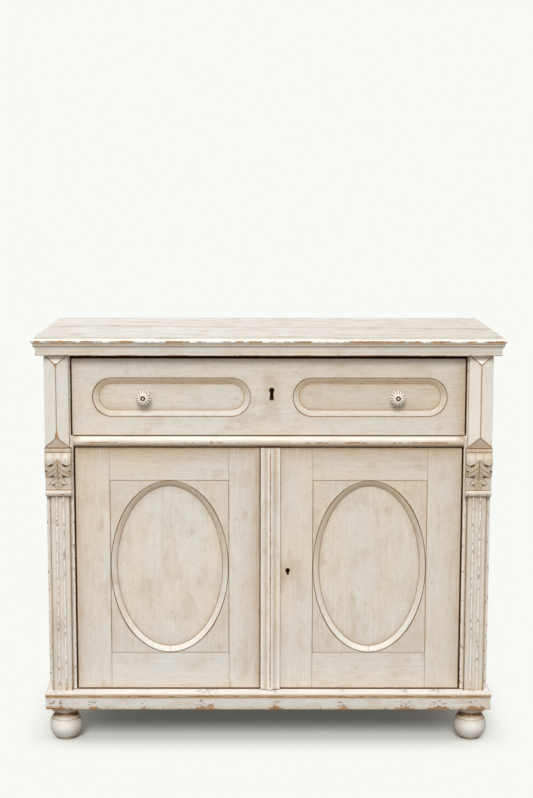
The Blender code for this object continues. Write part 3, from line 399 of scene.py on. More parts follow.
def planed_pine(grain, dusty_below=None):
    """Planed pine that was never painted, brown with age.

    The eye sees late wood as darker lines 3 to 6 mm apart along the grain, broad grey patches and small
    knots, and grey dust on what lies under the case, below the given level.
    """
    name = f"planed_bare_pine_{grain}" if dusty_below is None else f"planed_dusty_pine_{grain}"
    if name in bpy.data.materials:
        return bpy.data.materials[name]
    colours = bpy.context.scene.cupboard_colours
    material, tree, shader, place = new_finish(name, 0.72)
    lines = add(tree, "ShaderNodeMapping", {"Vector": place, "Scale": grain_scale(grain, *LATE_WOOD)})
    late = add(tree, "ShaderNodeTexNoise", {"Vector": lines.outputs["Vector"], "Scale": 1.0, "Detail": 3.0,
                                            "Roughness": 0.6, "Distortion": 0.4}).outputs["Fac"]
    broad = add(tree, "ShaderNodeTexNoise", {"Vector": place, "Scale": 1 / GREY_PATCH, "Detail": 3.0})
    knots = add(tree, "ShaderNodeTexVoronoi", {"Vector": place, "Scale": 1 / KNOT_SPACING})
    layers = [(late, (0.42, 0.70, 0.0, 0.75), colours.inside_dark),
              (broad.outputs["Fac"], (0.45, 0.8, 0.0, 0.5), colours.grain),
              (knots.outputs["Distance"], (0.05, 0.09, 0.8, 0.0), colours.old_wood)]
    if dusty_below is not None:
        level = add(tree, "ShaderNodeSeparateXYZ", {0: place}).outputs["Z"]
        layers.append((level, (dusty_below - 0.002, dusty_below, 0.95, 0.0), colours.dust))
    bump = add(tree, "ShaderNodeBump", {"Height": late, "Strength": 0.4, "Distance": 0.0004})
    tree.links.new(layered(tree, colours.inside_wood, layers), shader.inputs["Base Color"])
    tree.links.new(bump.outputs["Normal"], shader.inputs["Normal"])
    return material


def glazed_ceramic():
    """Glazed earthenware, dipped: a glossy cream that is thin and tan in the grooves, with fine crazing."""
    name = "dipped_glazed_earthenware"
    if name in bpy.data.materials:
        return bpy.data.materials[name]
    colours = bpy.context.scene.cupboard_colours
    material, tree, shader, place = new_finish(name, 0.20)
    groove = add(tree, "ShaderNodeAttribute", attribute_name="glaze").outputs["Fac"]
    cloud = add(tree, "ShaderNodeTexNoise", {"Vector": place, "Scale": 1 / GLAZE_CLOUD, "Detail": 3.0})
    thin = add(tree, "ShaderNodeMath", {0: groove, 1: cloud.outputs["Fac"]}, operation="MULTIPLY").outputs[0]
    thin = add(tree, "ShaderNodeMath", {0: thin, 1: 2.1}, operation="MULTIPLY", use_clamp=True).outputs[0]
    crazing = add(tree, "ShaderNodeTexVoronoi", {"Vector": place, "Scale": 1 / CRAZING_SIZE},
                  feature="DISTANCE_TO_EDGE").outputs["Distance"]
    coat = layered(tree, colours.ceramic, [(thin, None, colours.grain),
                                           (crazing, (0.0, 0.03, 0.25, 0.0), colours.grain)])
    tree.links.new(coat, shader.inputs["Base Color"])
    return material


def worn_metal(name, base, tarnish, roughness, patch):
    """Forged, pressed or turned metal with tarnish in patches of the given width, rougher where it lies."""
    if name in bpy.data.materials:
        return bpy.data.materials[name]
    material, tree, shader, place = new_finish(name, roughness, 1.0)
    cloud = add(tree, "ShaderNodeTexNoise", {"Vector": place, "Scale": 1 / patch, "Detail": 5.0,
                                             "Roughness": 0.65}).outputs["Fac"]
    coat = layered(tree, base, [(cloud, (0.42, 0.66, 0.0, 1.0), tarnish)])
    rough = add(tree, "ShaderNodeMapRange",
                dict(zip(RANGE, (cloud, 0.35, 0.7, roughness - 0.12, roughness + 0.2))))
    bump = add(tree, "ShaderNodeBump", {"Height": cloud, "Strength": 0.5, "Distance": 0.0003})
    tree.links.new(coat, shader.inputs["Base Color"])
    tree.links.new(rough.outputs["Result"], shader.inputs["Roughness"])
    tree.links.new(bump.outputs["Normal"], shader.inputs["Normal"])
    return material


def forged_iron():
    """Forged iron gone dark, with rust in patches of about 8 mm."""
    colours = bpy.context.scene.cupboard_colours
    return worn_metal("forged_iron", colours.iron, colours.rust, 0.55, 0.008)


def pressed_brass():
    """Pressed brass gone brown, with tarnish in patches of about 2 mm."""
    colours = bpy.context.scene.cupboard_colours
    return worn_metal("pressed_brass", colours.brass, colours.old_wood, 0.38, 0.002)


def turned_steel():
    """Turned steel rubbed bright by hands, with pale, rougher patches of about 1 mm."""
    colours = bpy.context.scene.cupboard_colours
    return worn_metal("turned_steel", colours.steel, colours.ceramic, 0.30, 0.001)


# Surfaces

FACING = 0.7                                    # least cosine of a face that looks a given way
CORNER_SHARE = 0.45                             # most of a side that a rounded corner takes
BOARD_STEP = 0.05                               # between the lines of points on a board


class Skin:
    """Patches of points and quads, with wear and glaze at each point, welded into one closed piece."""

    def __init__(self):
        self.points, self.wear, self.glaze = [], [], []
        self.quads, self.caps = [], []
        self.count = 0

    def keep(self, points, wear, glaze):
        """Stores an array of points with its two attributes and returns the index of its first point."""
        start = self.count
        shape = points.shape[:-1]
        self.points.append(points.reshape(-1, 3))
        self.wear.append(np.broadcast_to(wear, shape).ravel())
        self.glaze.append(np.broadcast_to(glaze, shape).ravel())
        self.count += int(np.prod(shape))
        return start

    def grid(self, points, wear=0.0, glaze=0.0, wrap_rows=False, wrap_columns=False):
        """Adds a surface given as rows and columns of points, joined up where it wraps."""
        rows, columns = points.shape[:2]
        start = self.keep(points, wear, glaze)
        row, column = np.meshgrid(np.arange(rows if wrap_rows else rows - 1),
                                  np.arange(columns if wrap_columns else columns - 1), indexing="ij")
        below, beside = (row + 1) % rows, (column + 1) % columns
        quads = np.stack([row * columns + column, row * columns + beside,
                          below * columns + beside, below * columns + column], -1)
        self.quads.append(quads.reshape(-1, 4) + start)

    def cap(self, loop, wear=0.0, glaze=0.0):
        """Closes an opening with one flat face over a loop of points."""
        start = self.keep(loop, wear, glaze)
        self.caps.append(np.arange(len(loop)) + start)

    def welded(self):
        """Merges equal points, keeps their largest wear and glaze, and drops the doubled corners of quads."""
        points = np.concatenate(self.points)
        keys = np.round(points / WELD).astype(np.int64)
        _, first, place = np.unique(keys, axis=0, return_index=True, return_inverse=True)
        place = place.ravel()
        wear, glaze = np.zeros(len(first)), np.full(len(first), -1.0)
        np.maximum.at(wear, place, np.concatenate(self.wear))
        np.maximum.at(glaze, place, np.concatenate(self.glaze))
        quads = place[np.concatenate(self.quads)]
        same = quads == np.roll(quads, -1, axis=1)
        faces = quads[~same.any(1)].tolist()
        for corner in range(4):
            pinched = same[:, corner] & (same.sum(1) == 1)
            faces += np.delete(quads[pinched], corner, axis=1).tolist()
        for cap in self.caps:
            loop = place[cap]
            faces.append(loop[loop != np.roll(loop, -1)].tolist())
        return points[first], wear, glaze, faces

    def piece(self, name, node, finish, inner=None, inner_side=None, sharp=38):
        """Makes the object, which replaces one frame node and rides on its body.

        Faces that look along inner_side, as (axis, sign), get the inner finish.
        """
        points, wear, glaze, faces = self.welded()
        mesh = bpy.data.meshes.new(name)
        mesh.from_pydata(points, [], faces)
        for key, values in (("wear", wear), ("glaze", glaze)):
            mesh.attributes.new(key, "FLOAT", "POINT").data.foreach_set("value", values)
        shape = bmesh.new()
        shape.from_mesh(mesh)
        bmesh.ops.remove_doubles(shape, verts=shape.verts, dist=WELD)
        bmesh.ops.recalc_face_normals(shape, faces=shape.faces)
        shape.to_mesh(mesh)
        shape.free()
        mesh.shade_smooth()
        mesh.set_sharp_from_angle(angle=math.radians(sharp))
        mesh.materials.append(finish)
        if inner:
            axis, sign = inner_side
            normals = np.zeros(len(mesh.polygons) * 3)
            mesh.polygons.foreach_get("normal", normals)
            mesh.materials.append(inner)
            looks = normals.reshape(-1, 3)[:, axis] * sign > FACING
            mesh.polygons.foreach_set("material_index", looks.astype(np.int32))
        item = bpy.data.objects.new(name, mesh)
        bpy.context.scene.collection.objects.link(item)
        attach(item, BODY_OF[node])
        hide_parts(node)

    def painted(self, node, grain, inner_side=(1, 1)):
        """Makes a piece that is painted, but bare on its inner side, which is its back if none is given."""
        self.piece(f"{node}_painted", node, brushed_paint(grain), planed_pine(grain), inner_side)


def spread(low, high, step, near=()):
    """Positions from low to high about one step apart, with more at the given distances from both ends."""
    even = np.linspace(low, high, max(2, round((high - low) / step) + 1))
    ends = np.array([d for d in near if d < (high - low) / 2.2])
    return np.unique(np.round(joined(even, low + ends, high - ends), 7))


def stacked(x, y, z):
    """Points from three arrays that broadcast to one shape."""
    return np.stack(np.broadcast_arrays(x, y, z), -1).astype(float)


def joined(*parts):
    """One array of the given parts, end to end."""
    return np.concatenate(parts)


def bell(value, middle, width):
    """A smooth bump: exp of minus the square of the distance from its middle over its width."""
    return np.exp(-((value - middle) / width) ** 2)


def falloff(distance, reach):
    """Fades from one at no distance: exp of minus the distance over the reach."""
    return np.exp(-distance / reach)


def climb(value, start, span):
    """Rises straight from nought at the start to one a span further on."""
    return np.clip((value - start) / span, 0, 1)


PLACES = {"left": (0, 0), "right": (0, 1), "front": (1, 0), "back": (1, 1), "bottom": (2, 0), "top": (2, 1)}


def edge_fade(points, low, high, weights, reach):
    """Largest of weight times exp(-distance / reach) over the named sides of a box."""
    fade = np.zeros(points.shape[:-1])
    for side, weight in weights.items():
        axis, end = PLACES[side]
        distance = np.abs(points[..., axis] - (low, high)[end][axis])
        fade = np.maximum(fade, weight * falloff(distance, reach))
    return fade


def stained(points, low, high, glaze, dirt):
    """Tan glaze, and dark dirt and painted shade in joints and gaps, that fade away from the named sides of a
    box, whichever is more. Glaze at the top hangs further down too, a painted shadow under the part above.
    """
    glaze, dirt = glaze or {}, dirt or {}
    return np.maximum.reduce([edge_fade(points, low, high, glaze, GLAZE_REACH),
                              edge_fade(points, low, high, {"top": glaze.get("top", 0.0)}, SHADOW_HANG_REACH),
                              edge_fade(points, low, high, dirt, JOINT_SHADE_REACH)])


def board(node, radius, wear=None, glaze=None, dirt=None):
    """A board that fills a frame node's box, with all its edges rounded.

    Each point of a gridded box is set at the edge radius from the nearest point of a box that is smaller by
    that radius all round. Wear, glaze, and dirt with painted shade fade away from the named sides; glaze at
    the top hangs down further as a painted shadow.
    """
    low, high = node_box(node)
    skin = Skin()
    bands = radius * (1 - np.tan(np.radians([22.5, 0.0])))
    lines = [spread(low[k], high[k], BOARD_STEP, (*bands, *FADE_ROWS)) for k in range(3)]
    for axis in range(3):
        first, second = [k for k in range(3) if k != axis]
        u, v = np.meshgrid(lines[first], lines[second], indexing="ij")
        for end in (low, high):
            raw = np.empty(u.shape + (3,))
            raw[..., axis], raw[..., first], raw[..., second] = end[axis], u, v
            core = np.clip(raw, low + radius, high - radius)
            out = raw - core
            points = core + radius * out / np.linalg.norm(out, axis=-1, keepdims=True)
            skin.grid(points, edge_fade(raw, low, high, wear or {}, WEAR_REACH),
                      stained(raw, low, high, glaze, dirt))
    return skin


def eased(corners, steps=4):
    """Rounds the corners of a closed profile and returns arrays of u, v, wear and glaze.

    Each corner is (u, v, radius, wear, glaze). A quadratic curve that touches both sides takes its place, and
    a point on each side, three fade lengths on, brings the wear back to none.
    """
    corners = np.array(corners, float)
    rows = []
    for before, here, after in zip(np.roll(corners, 1, 0), corners, np.roll(corners, -1, 0)):
        point, (radius, wear, glaze) = here[:2], here[2:]
        if radius == 0:
            rows.append(here[[0, 1, 3, 4]][None])
            continue
        back, on = before[:2] - point, after[:2] - point
        reach_back, reach_on = np.linalg.norm(back), np.linalg.norm(on)
        start = point + back / reach_back * min(radius, CORNER_SHARE * reach_back)
        end = point + on / reach_on * min(radius, CORNER_SHARE * reach_on)
        s = np.linspace(0, 1, steps + 1)[:, None]
        curve = (1 - s) ** 2 * start + 2 * s * (1 - s) * point + s ** 2 * end
        fade = radius + 3 * WEAR_REACH
        if fade < CORNER_SHARE * reach_back:
            rows.append(np.array([[*(point + back / reach_back * fade), 0.0, before[4]]]))
        rows.append(np.column_stack([curve, np.full(steps + 1, wear), np.full(steps + 1, glaze)]))
        if fade < CORNER_SHARE * reach_on:
            rows.append(np.array([[*(point + on / reach_on * fade), 0.0, after[4]]]))
    return np.concatenate(rows).T


def carried(points, wear, glaze):
    """A closed profile carried along a run, given as rows of stations, with a cap at each end."""
    skin = Skin()
    skin.grid(points, wear, glaze, wrap_columns=True)
    skin.cap(points[0])
    skin.cap(points[-1])
    return skin


def rim(us, vs):
    """Points once round a rectangle's rim, on the lines us across and vs up."""
    u = joined(us[:-1], np.full(len(vs) - 1, us[-1]), us[:0:-1], np.full(len(vs) - 1, us[0]))
    v = joined(np.full(len(us) - 1, vs[0]), vs[:-1], np.full(len(us) - 1, vs[-1]), vs[:0:-1])
    return u, v


def patches(x, spots):
    """Height of flat-topped bumps, each given as (middle, half width), along a line."""
    middle, half = np.array(spots).T
    return np.exp(-np.abs((x[..., None] - middle) / half) ** 4).max(-1)


# Top

# Rubbed places along an edge, each as its middle and half its width
NOSING_SPOTS = ((-0.545, 0.008), (-0.492, 0.028), (-0.428, 0.011), (-0.338, 0.019), (-0.219, 0.026),
                (-0.067, 0.006), (-0.038, 0.015), (0.082, 0.017), (0.161, 0.004), (0.241, 0.052),
                (0.306, 0.015), (0.347, 0.011), (0.402, 0.018), (0.474, 0.004), (0.518, 0.006),
                (0.543, 0.015))
SEAM_REACH = 0.0025                             # how fast wear and dirt fade away from the seams of the top


def make_top(sizes):
    """Nosing strip along the front, and two boards that taper towards opposite ends.

    The rim of a plan, drawn in by the nose's arc level by level, gives the rounded edge on the front and the
    ends. The plan's own grid closes it above and below.
    """
    front_low, front_high = node_box("top_board_front")
    back_low, back_high = node_box("top_board_back")
    half, low, high = front_high[0], front_low[2], front_high[2]
    seam_left, seam_right = front_high[1], back_low[1]

    def seam(x):
        return seam_left + (seam_right - seam_left) * (x + half) / (2 * half)

    shoulder = low + sizes.nosing_fillet
    nose = (high - low - sizes.nosing_fillet) / 2
    turn = np.radians(np.linspace(-60, 90, 14))
    inset = joined([sizes.nosing_inset] * 2, nose * (1 - np.cos(turn)))
    level = joined([low, shoulder], shoulder + nose * (1 + np.sin(turn)))
    level[-1] = high
    worn = joined([0.4, 0.5], bell(turn, -0.06, 0.60))
    # Painted light on the nose: painted shade on the step and the nose's underside, and a painted highlight
    # on its upper round
    tint = joined([0.5, 0.5], 0.3 * (turn < -0.6) - 0.9 * bell(turn, 0.6, 0.6))
    lip = np.zeros(len(inset))
    lip[-2:] = (0.3 * sizes.joint, sizes.joint)
    joint = front_low[1] + sizes.nosing_width
    boards = {                                  # node, front edge and back edge
        "top_nosing_strip": ("top_board_front", lambda x: front_low[1] + 0 * x,
                             lambda x: joint - GAP + 0 * x),
        "top_front_board": ("top_board_front", lambda x: joint + 0 * x, seam),
        "top_back_board": ("top_board_back", lambda x: seam(x) + GAP, lambda x: back_high[1] + 0 * x),
    }
    us = spread(-half, half, 0.014, (0.003, *FADE_ROWS)) / half
    for name, (node, front, back) in boards.items():
        nosed = name == "top_nosing_strip"
        depth = float(back(np.array(0.0)) - front(np.array(0.0)))
        vs = spread(0, depth, 0.03, (0.0008, *FADE_ROWS)) / depth

        def plan(u, v, draw, lip_draw):
            """Place on the board for shares u across and v back, with the rim drawn in."""
            x = u * (half - draw)
            near = front(x) + (draw if nosed else lip_draw)
            y = near + v * (back(x) - lip_draw - near)
            if nosed:
                across = np.abs(x) - (half - sizes.top_corner)
                ahead = front(x) + sizes.top_corner - y
                corner = (across > 0) & (ahead > 0)
                size = np.maximum(np.hypot(across, ahead), 1e-9)
                pull = np.where(corner, np.maximum(across, ahead) / size, 1.0)
                x = np.where(corner, np.sign(x) * (half - sizes.top_corner + across * pull), x)
                y = np.where(corner, front(x) + sizes.top_corner - ahead * pull, y)
            return x, y

        skin = Skin()
        x, y = plan(*rim(us, vs), inset[:, None], lip[:, None])
        ahead = falloff(np.abs(y - front(x)), 0.006) if nosed else np.zeros_like(x)
        ends = falloff(np.abs(half - np.abs(x)), 0.008)
        rub = np.maximum(ahead * (0.68 + 0.54 * patches(x, NOSING_SPOTS)), 1.12 * ends)
        skin.grid(stacked(x, y, level[:, None]), rub * worn[:, None], tint[:, None], wrap_columns=True)
        for row, wear_top in ((0, 0.0), (-1, 1.0)):
            u, v = np.meshgrid(us, vs, indexing="ij")
            x, y = plan(u, v, inset[row], lip[row])
            seams = np.minimum(np.abs(y - front(x)) if not nosed else 1.0, np.abs(back(x) - y))
            edge = half - np.abs(x)
            wear = wear_top * np.maximum(0.60 * falloff(seams, SEAM_REACH), 0.46 * falloff(edge, 0.012))
            skin.grid(stacked(x, y, np.full(x.shape, level[row])), wear, 1.5 * falloff(seams, SEAM_REACH))
        skin.piece(name, node, brushed_paint("x"))


# Cornice, plinth and rail

# Rubbed places, as on the nosing
RAIL_SPOTS = ((-0.430, 0.006), (-0.386, 0.022), (-0.120, 0.010), (0.135, 0.021), (0.207, 0.037),
              (0.311, 0.010), (0.380, 0.048))
PLINTH_SPOTS = ((-0.520, 0.032), (-0.424, 0.010), (-0.300, 0.008), (-0.150, 0.030), (0.020, 0.014),
                (0.180, 0.010), (0.330, 0.020), (0.412, 0.024), (0.500, 0.018))
RAIL_EASE = 0.0008                              # how far the rail's nose is drawn in at its two ends


def mitred_runs(kind, behind, corners, side_plane, front_plane, spots):
    """Carries a profile of (reach, z) along the front and both sides, with mitred ends at the front corners.

    Its first and last corner are the two back edges. Their reach is given for the front and for each side.
    """
    for place in ("front", "left", "right"):
        node = f"{kind}_{place}"
        back = node_box(node)[1][1]
        first, *middle, last = corners
        reach, z, wear, glaze = eased([(behind[place], *first[1:]), *middle, (behind[place], *last[1:])])
        if place == "front":
            grain = "x"
            x = spread(-1.0, 1.0, 0.02, (0.002, 0.006, 0.02))[:, None] * (side_plane + reach - GAP)
            points = stacked(x, front_plane - reach, z)
            wear = wear * (0.75 + 0.65 * patches(x, spots))
        else:
            grain = "y"
            start = front_plane - reach + GAP
            y = start + spread(0.0, 1.0, 0.04, (0.004, 0.012, 0.04))[:, None] * (back - start)
            points = stacked(dict(SIDES)[place] * (side_plane + reach), y, z)
        carried(points, wear, glaze).piece(f"{node}_moulding", node, brushed_paint(grain))


def make_cornice(sizes):
    """Fillet, cove and upper fillet under the top, as one profile round three sides."""
    low, high = node_box("cornice_front")
    side_plane = node_box("side_right")[1][0]
    reach = node_box("cornice_right")[1][0] - side_plane
    front_plane = low[1] + reach
    foot = reach - sizes.cornice_step
    base, lip = low[2] + sizes.cornice_foot, high[2] - 0.002
    band = base - low[2]
    turn = np.radians(np.linspace(180, 96, 12))
    # Painted light: painted shade on the upper part of the flat band, a painted highlight that grows up the
    # cove against its shade, and a dark line of dirt and painted shadow under the top
    cove = [(reach + sizes.cornice_cove * np.cos(a), base + (lip - base) * np.sin(a), 0.0, 0.0, -1.0 * k / 11)
            for k, a in enumerate(turn)]
    corners = [(0.0, low[2], 0.0, 0.0, 0.8), (foot, low[2], sizes.arris, 0.76, 0.3),
               (foot, low[2] + 0.25 * band, 0.0, 0.14, -0.1), (foot, low[2] + 0.8 * band, 0.0, 0.05, 0.30),
               *cove, (reach, lip, 0.0005, 0.2, 0.6), (reach, high[2], 0.0, 0.0, 1.2),
               (0.0, high[2], 0.0, 0.0, 0.5)]
    behind = {"front": front_plane - high[1], "left": GAP, "right": GAP}
    mitred_runs("cornice", behind, corners, side_plane, front_plane, NOSING_SPOTS)


def make_plinth(sizes):
    """Plinth bars: flat face, a quirk, and a bead along the upper edge, as one profile round three sides."""
    low, high = node_box("plinth_front")
    front_plane = low[1] + sizes.bead_reach
    side_plane = node_box("plinth_right")[1][0] - sizes.bead_reach
    width = high[1] - front_plane
    bead = sizes.bead_height / 2
    # Painted light: painted shade on the bead's lower part, a painted highlight on its top and on the ledge
    # behind it, and a dark line of dirt and painted shade in the quirk below the bead
    roll = [(sizes.bead_reach * np.cos(a), high[2] - bead + bead * np.sin(a), 0.0, 0.82 * bell(a, -0.3, 0.5),
             1.0 * (np.sin(a) < 0.6) - 0.2 * (np.sin(a) > 0.7)) for a in np.radians(np.linspace(-80, 90, 12))]
    quirk = high[2] - sizes.bead_height
    corners = [(-width, low[2], 0.0, 0.0, 0.3), (0.0, low[2], sizes.arris * 1.5, 0.78, 0.6),
               (0.0, low[2] + 0.0055, 0.0, 0.56, 0.3), (0.0, low[2] + 0.010, 0.0, 0.44, 0.05),
               (0.0, quirk - 0.006, 0.0, 0.42, 0.0), (0.0, quirk - 0.001, 0.0, 0.3, 0.5),
               (-0.0009, quirk, 0.0, 0.3, 2.2), *roll,
               (-sizes.bead_reach * 2, high[2], 0.0, 0.42, -1.0), (-0.0340, high[2], 0.0, 0.47, -1.0),
               (-0.0365, high[2], 0.0, 0.2, 0.2), (-0.0385, high[2], 0.0, 0.0, 1.8),
               (-width, high[2], 0.0, 0.0, 1.9)]
    behind = dict.fromkeys(("front", "left", "right"), -width)
    mitred_runs("plinth", behind, corners, side_plane, front_plane, PLINTH_SPOTS)


def make_rail(sizes):
    """Rail under the drawer: a half-round front, half an ellipse in section, on a flat bar.

    Four more points of the section lie flat underneath. Where the left door's bolt goes in, the middle two
    rise and make its mortise.
    """
    low, high = node_box("drawer_rail")
    bolt_low, bolt_high = node_box("left_door_edge_bolt")
    mortise_low, mortise_high = bolt_low - MORTISE_ROOM, bolt_high + MORTISE_ROOM
    roof = mortise_high[2] + stated("behaviour", "joints", "edge_bolt_slide")["range_m"][1]
    half_height = (high[2] - low[2]) / 2
    turn = np.radians(np.linspace(-90, 90, 25))
    y = joined(low[1] + sizes.rail_nose * (1 - np.cos(turn)), [high[1], high[1]],
               np.repeat([mortise_high[1], mortise_low[1]], 2))
    z = joined(low[2] + half_height + half_height * np.sin(turn), [high[2]], np.full(5, low[2]))
    wear = joined(0.88 * bell(turn, -0.10, 0.22), np.zeros(6))
    # Painted light on the nose: a painted highlight on its upper half and painted shade on its lower half;
    # the dark lines where the nose meets the bar are dirt and painted shade
    painted_light = 0.75 * bell(turn, 0.75, 0.45)
    tan = 1.20 * bell(turn, -1.15, 0.84)
    glaze = joined(tan - painted_light + 1.6 * (np.abs(turn) > 1.45), np.full(6, 2.4))
    near = (0.004, 0.012)
    x = joined([low[0]], spread(low[0] + RAIL_EASE, mortise_low[0], 0.02, near),
               [mortise_low[0], mortise_high[0]],
               spread(mortise_high[0], high[0] - RAIL_EASE, 0.02, near), [high[0]])
    first = int(np.searchsorted(x, mortise_low[0])) + 1
    z = np.tile(z, (len(x), 1))
    z[first:first + 2, -3:-1] = roof
    draw = np.zeros((len(x), 1))
    draw[[0, -1]] = RAIL_EASE
    nose = np.minimum(y, high[1] - draw)
    nose = np.where(np.arange(len(y)) < len(turn), nose + draw, nose)
    rub = wear * (0.62 + 0.50 * patches(x[:, None], RAIL_SPOTS))
    ends = falloff(np.minimum(x - low[0], high[0] - x), 0.006)[:, None]
    tint = np.where(ends > 0.1, np.maximum(glaze, 0.7 * ends), glaze)
    skin = carried(stacked(x[:, None], nose, z), rub, tint)
    skin.piece("drawer_rail_nosing", "drawer_rail", brushed_paint("x"))


# Pilasters

BLOCK_ROWS = (0.0006, 0.0014, 0.0030)           # rows of points near the arrises of the blocks


def make_pilasters(sizes):
    """Fluted shafts, carved corbels and faceted blocks at the two front corners."""
    for word, side in SIDES:
        fluted_shaft(word, sizes)
        carved_corbel(word, sizes)
        faceted_block(word, side, sizes)


def fluted_shaft(word, sizes):
    """Plan of three circular flutes between rounded lands, carried straight up."""
    node = f"fluted_pilaster_{word}"
    low, high = node_box(node)
    middle = (low[0] + high[0]) / 2
    pitch = sizes.flute_width + sizes.flute_land
    radius = (sizes.flute_width ** 2 / 4 + sizes.flute_depth ** 2) / (2 * sizes.flute_depth)
    swing = math.asin(sizes.flute_width / 2 / radius)
    turn = np.linspace(-swing, swing, 15)
    lip = np.where(np.abs(turn) > 0.99 * swing, 1.0, 0.0)
    v = low[1] + sizes.flute_depth - radius * (1 - np.cos(turn))
    wall = [(high[1], 0.0, 0.0, 1.0), (low[1], sizes.arris * 0.6, 0.68, 1.6)]
    corners = [(low[0], *values) for values in wall]
    for flute in (-1, 0, 1):
        u = middle + flute * pitch + radius * np.sin(turn)
        outer = climb(np.abs(u - middle) / (middle - low[0]), 0.88, 0.07)
        # The flutes' floors are tan, the outermost parts of the outer flutes dark, and a painted highlight
        # lifts the lands at the flutes' edges
        hollow = 0.05 * np.cos(turn / swing * math.pi / 2) ** 2 + 1.25 * outer
        corners += np.column_stack([u, v, 0.0005 * lip, 0.65 * lip, hollow - 0.55 * lip]).tolist()
    corners += [(high[0], *values) for values in wall[::-1]]
    u, v, wear, glaze = eased(corners, 3)
    z = spread(low[2], high[2], 0.02, (0.001, 0.004, 0.010, 0.025))[:, None]
    # Dirt at the foot of the shaft, and at its head a painted shadow under the corbel's roll
    foot = falloff(z - low[2], 0.012)
    head = falloff(high[2] - z, 0.007)
    dirt = np.clip(glaze * (1.0 + 0.6 * foot + 0.4 * head) + 0.55 * foot + head, -1, 2.2)
    skin = carried(stacked(u, v, z), wear * (0.85 + 0.3 * foot), dirt)
    skin.piece(f"{node}_carved", node, brushed_paint("z"))


def faceted_block(word, side, sizes):
    """Four sloping facets that meet in an upright ridge and two pairs of hips, on an upright border.

    Each facet is a straight-line surface between its stretch of ridge and its stretch of border. The left
    block is rubbed through in a tongue up from the ridge's foot, and in a spot at its head.
    """
    node = f"diamond_block_{word}"
    low, high = node_box(node)
    middle = (low[0] + high[0]) / 2
    edge = high[1] + GAP - sizes.block_edge
    foot = np.array([middle, low[1], low[2] + sizes.block_hip])
    head = np.array([middle, low[1], high[2] - sizes.block_hip])
    lower = [np.array([x, edge, low[2]]) for x in (low[0], high[0])]
    upper = [np.array([x, edge, high[2]]) for x in (low[0], high[0])]
    facets = ((foot, head, lower[0], upper[0]), (foot, head, lower[1], upper[1]),
              (foot, foot, lower[0], lower[1]), (head, head, upper[0], upper[1]))
    skin = Skin()
    for first, last, border_first, border_last in facets:
        ridged = first is not last
        span = np.linalg.norm(border_last - border_first)
        fall = np.linalg.norm((first + last - border_first - border_last) / 2)
        s = (spread(0, span, 0.006, BLOCK_ROWS) / span)[None, :, None]
        t = (spread(0, fall, 0.006, BLOCK_ROWS) / fall)[:, None, None]
        border = border_first + (border_last - border_first) * s
        points = (1 - t) * (first + (last - first) * s) + t * border
        x, z = points[..., 0], points[..., 2]
        ridge = t[..., 0] * fall + 0 * s[..., 0]
        hip = np.minimum(s, 1 - s)[..., 0] * np.linalg.norm(points[:, -1] - points[:, 0], axis=-1)[:, None]
        brim = (1 - t[..., 0]) * fall + 0 * s[..., 0]
        wear = [0.84 * ridged * falloff(ridge, 0.0012), 0.80 * falloff(hip, 0.0013),
                0.42 * falloff(brim, 0.0010)]
        if word == "left":
            above = (z - foot[2]) / 0.026
            wide = 0.0046 * np.clip(1 - above, 0, 1) ** 1.5 + 1e-5
            tongue = np.clip(1.8 - np.abs(x - middle) / wide, 0, 1) * (above > -0.02) * (above < 0.95)
            spot = np.exp(-((x - middle) / 0.0040) ** 2 - ((z - head[2]) / 0.0060) ** 2)
            wear += [1.1 * tongue, 1.2 * spot]
        dirt = np.maximum.reduce([2.0 * ridged * falloff(ridge, 0.0008), 2.6 * falloff(hip, 0.0012),
                                  0.35 * falloff(brim, 0.004)])
        # Painted light on the facets: a painted highlight on the upper facet, painted shade on the lower one,
        # and a painted highlight on the side facets, stronger on the right block
        tilt = (border_first[2] + border_last[2]) / 2 - (first[2] + last[2]) / 2
        if abs(tilt) > 0.01:
            painted_light = 0.75 if tilt > 0 else -0.30
        else:
            painted_light = 0.35 if side < 0 else 0.50
        skin.grid(points, np.maximum.reduce(wear), np.where(dirt > 0.3, dirt, -painted_light))
    u, v = rim(*(spread(low[axis], high[axis], 0.006, BLOCK_ROWS) for axis in (0, 2)))
    depth = np.array([edge, edge + 0.002, high[1]])[:, None]
    skin.grid(stacked(u, depth, v), np.array([0.42, 0.1, 0.0])[:, None], 0.4, wrap_columns=True)
    skin.cap(stacked(u, high[1], v))
    skin.piece(f"{node}_carved", node, brushed_paint("z"), sharp=8)


# Drawing of the leaf, in millimetres out from the rib and up from the tip
LEAF_HEIGHT = 95
LEAF_WALL = 1.3                                                  # width of the steep edge of a leaflet
LEAF_HEM = ((0, 6, 12, 16, 24, 31), (78, 73, 66, 63.5, 63, 66))  # lower edge of the drape
LEAF_SHOULDER = ((0, 12, 29, 31), (88, 67, 54, 52))              # upper edge of the side lobes
LEAF_SKIRT = ((0, 8, 12, 22, 31), (20, 26, 33, 32.5, 36))        # and their lower edge
LEAF_TIP = ((0, 3, 8, 11.5, 13, 15, 22, 30, 40, 60, 84),         # heights, and the middle leaf's half widths
            (0, 6, 9, 8.5, 19, 20, 15, 11, 11, 8, 2))
LEAF_EYES = ((16, 63, 4.6, 2.3, 38), (28, 48, 2.4, 2.6, 0),      # drilled hollows: place, half sizes and
             (14, 33.2, 4.8, 2.2, 18), (12.5, 12.0, 4.0, 1.5, 0))  # lean in degrees
LEAF_FOLD = 18                                                   # width of a fold of the drape
VEIN_STEP = 13                                                   # from vein to vein
VEIN_START, VEIN_FALL, VEIN_BEND = 8, 15, 6                      # where they begin, and how they run down


def plateau(distance):
    """Rises smoothly from nought to one over the width of a leaflet's edge."""
    rise = np.clip(distance / LEAF_WALL, 0, 1)
    return rise * rise * (3 - 2 * rise)


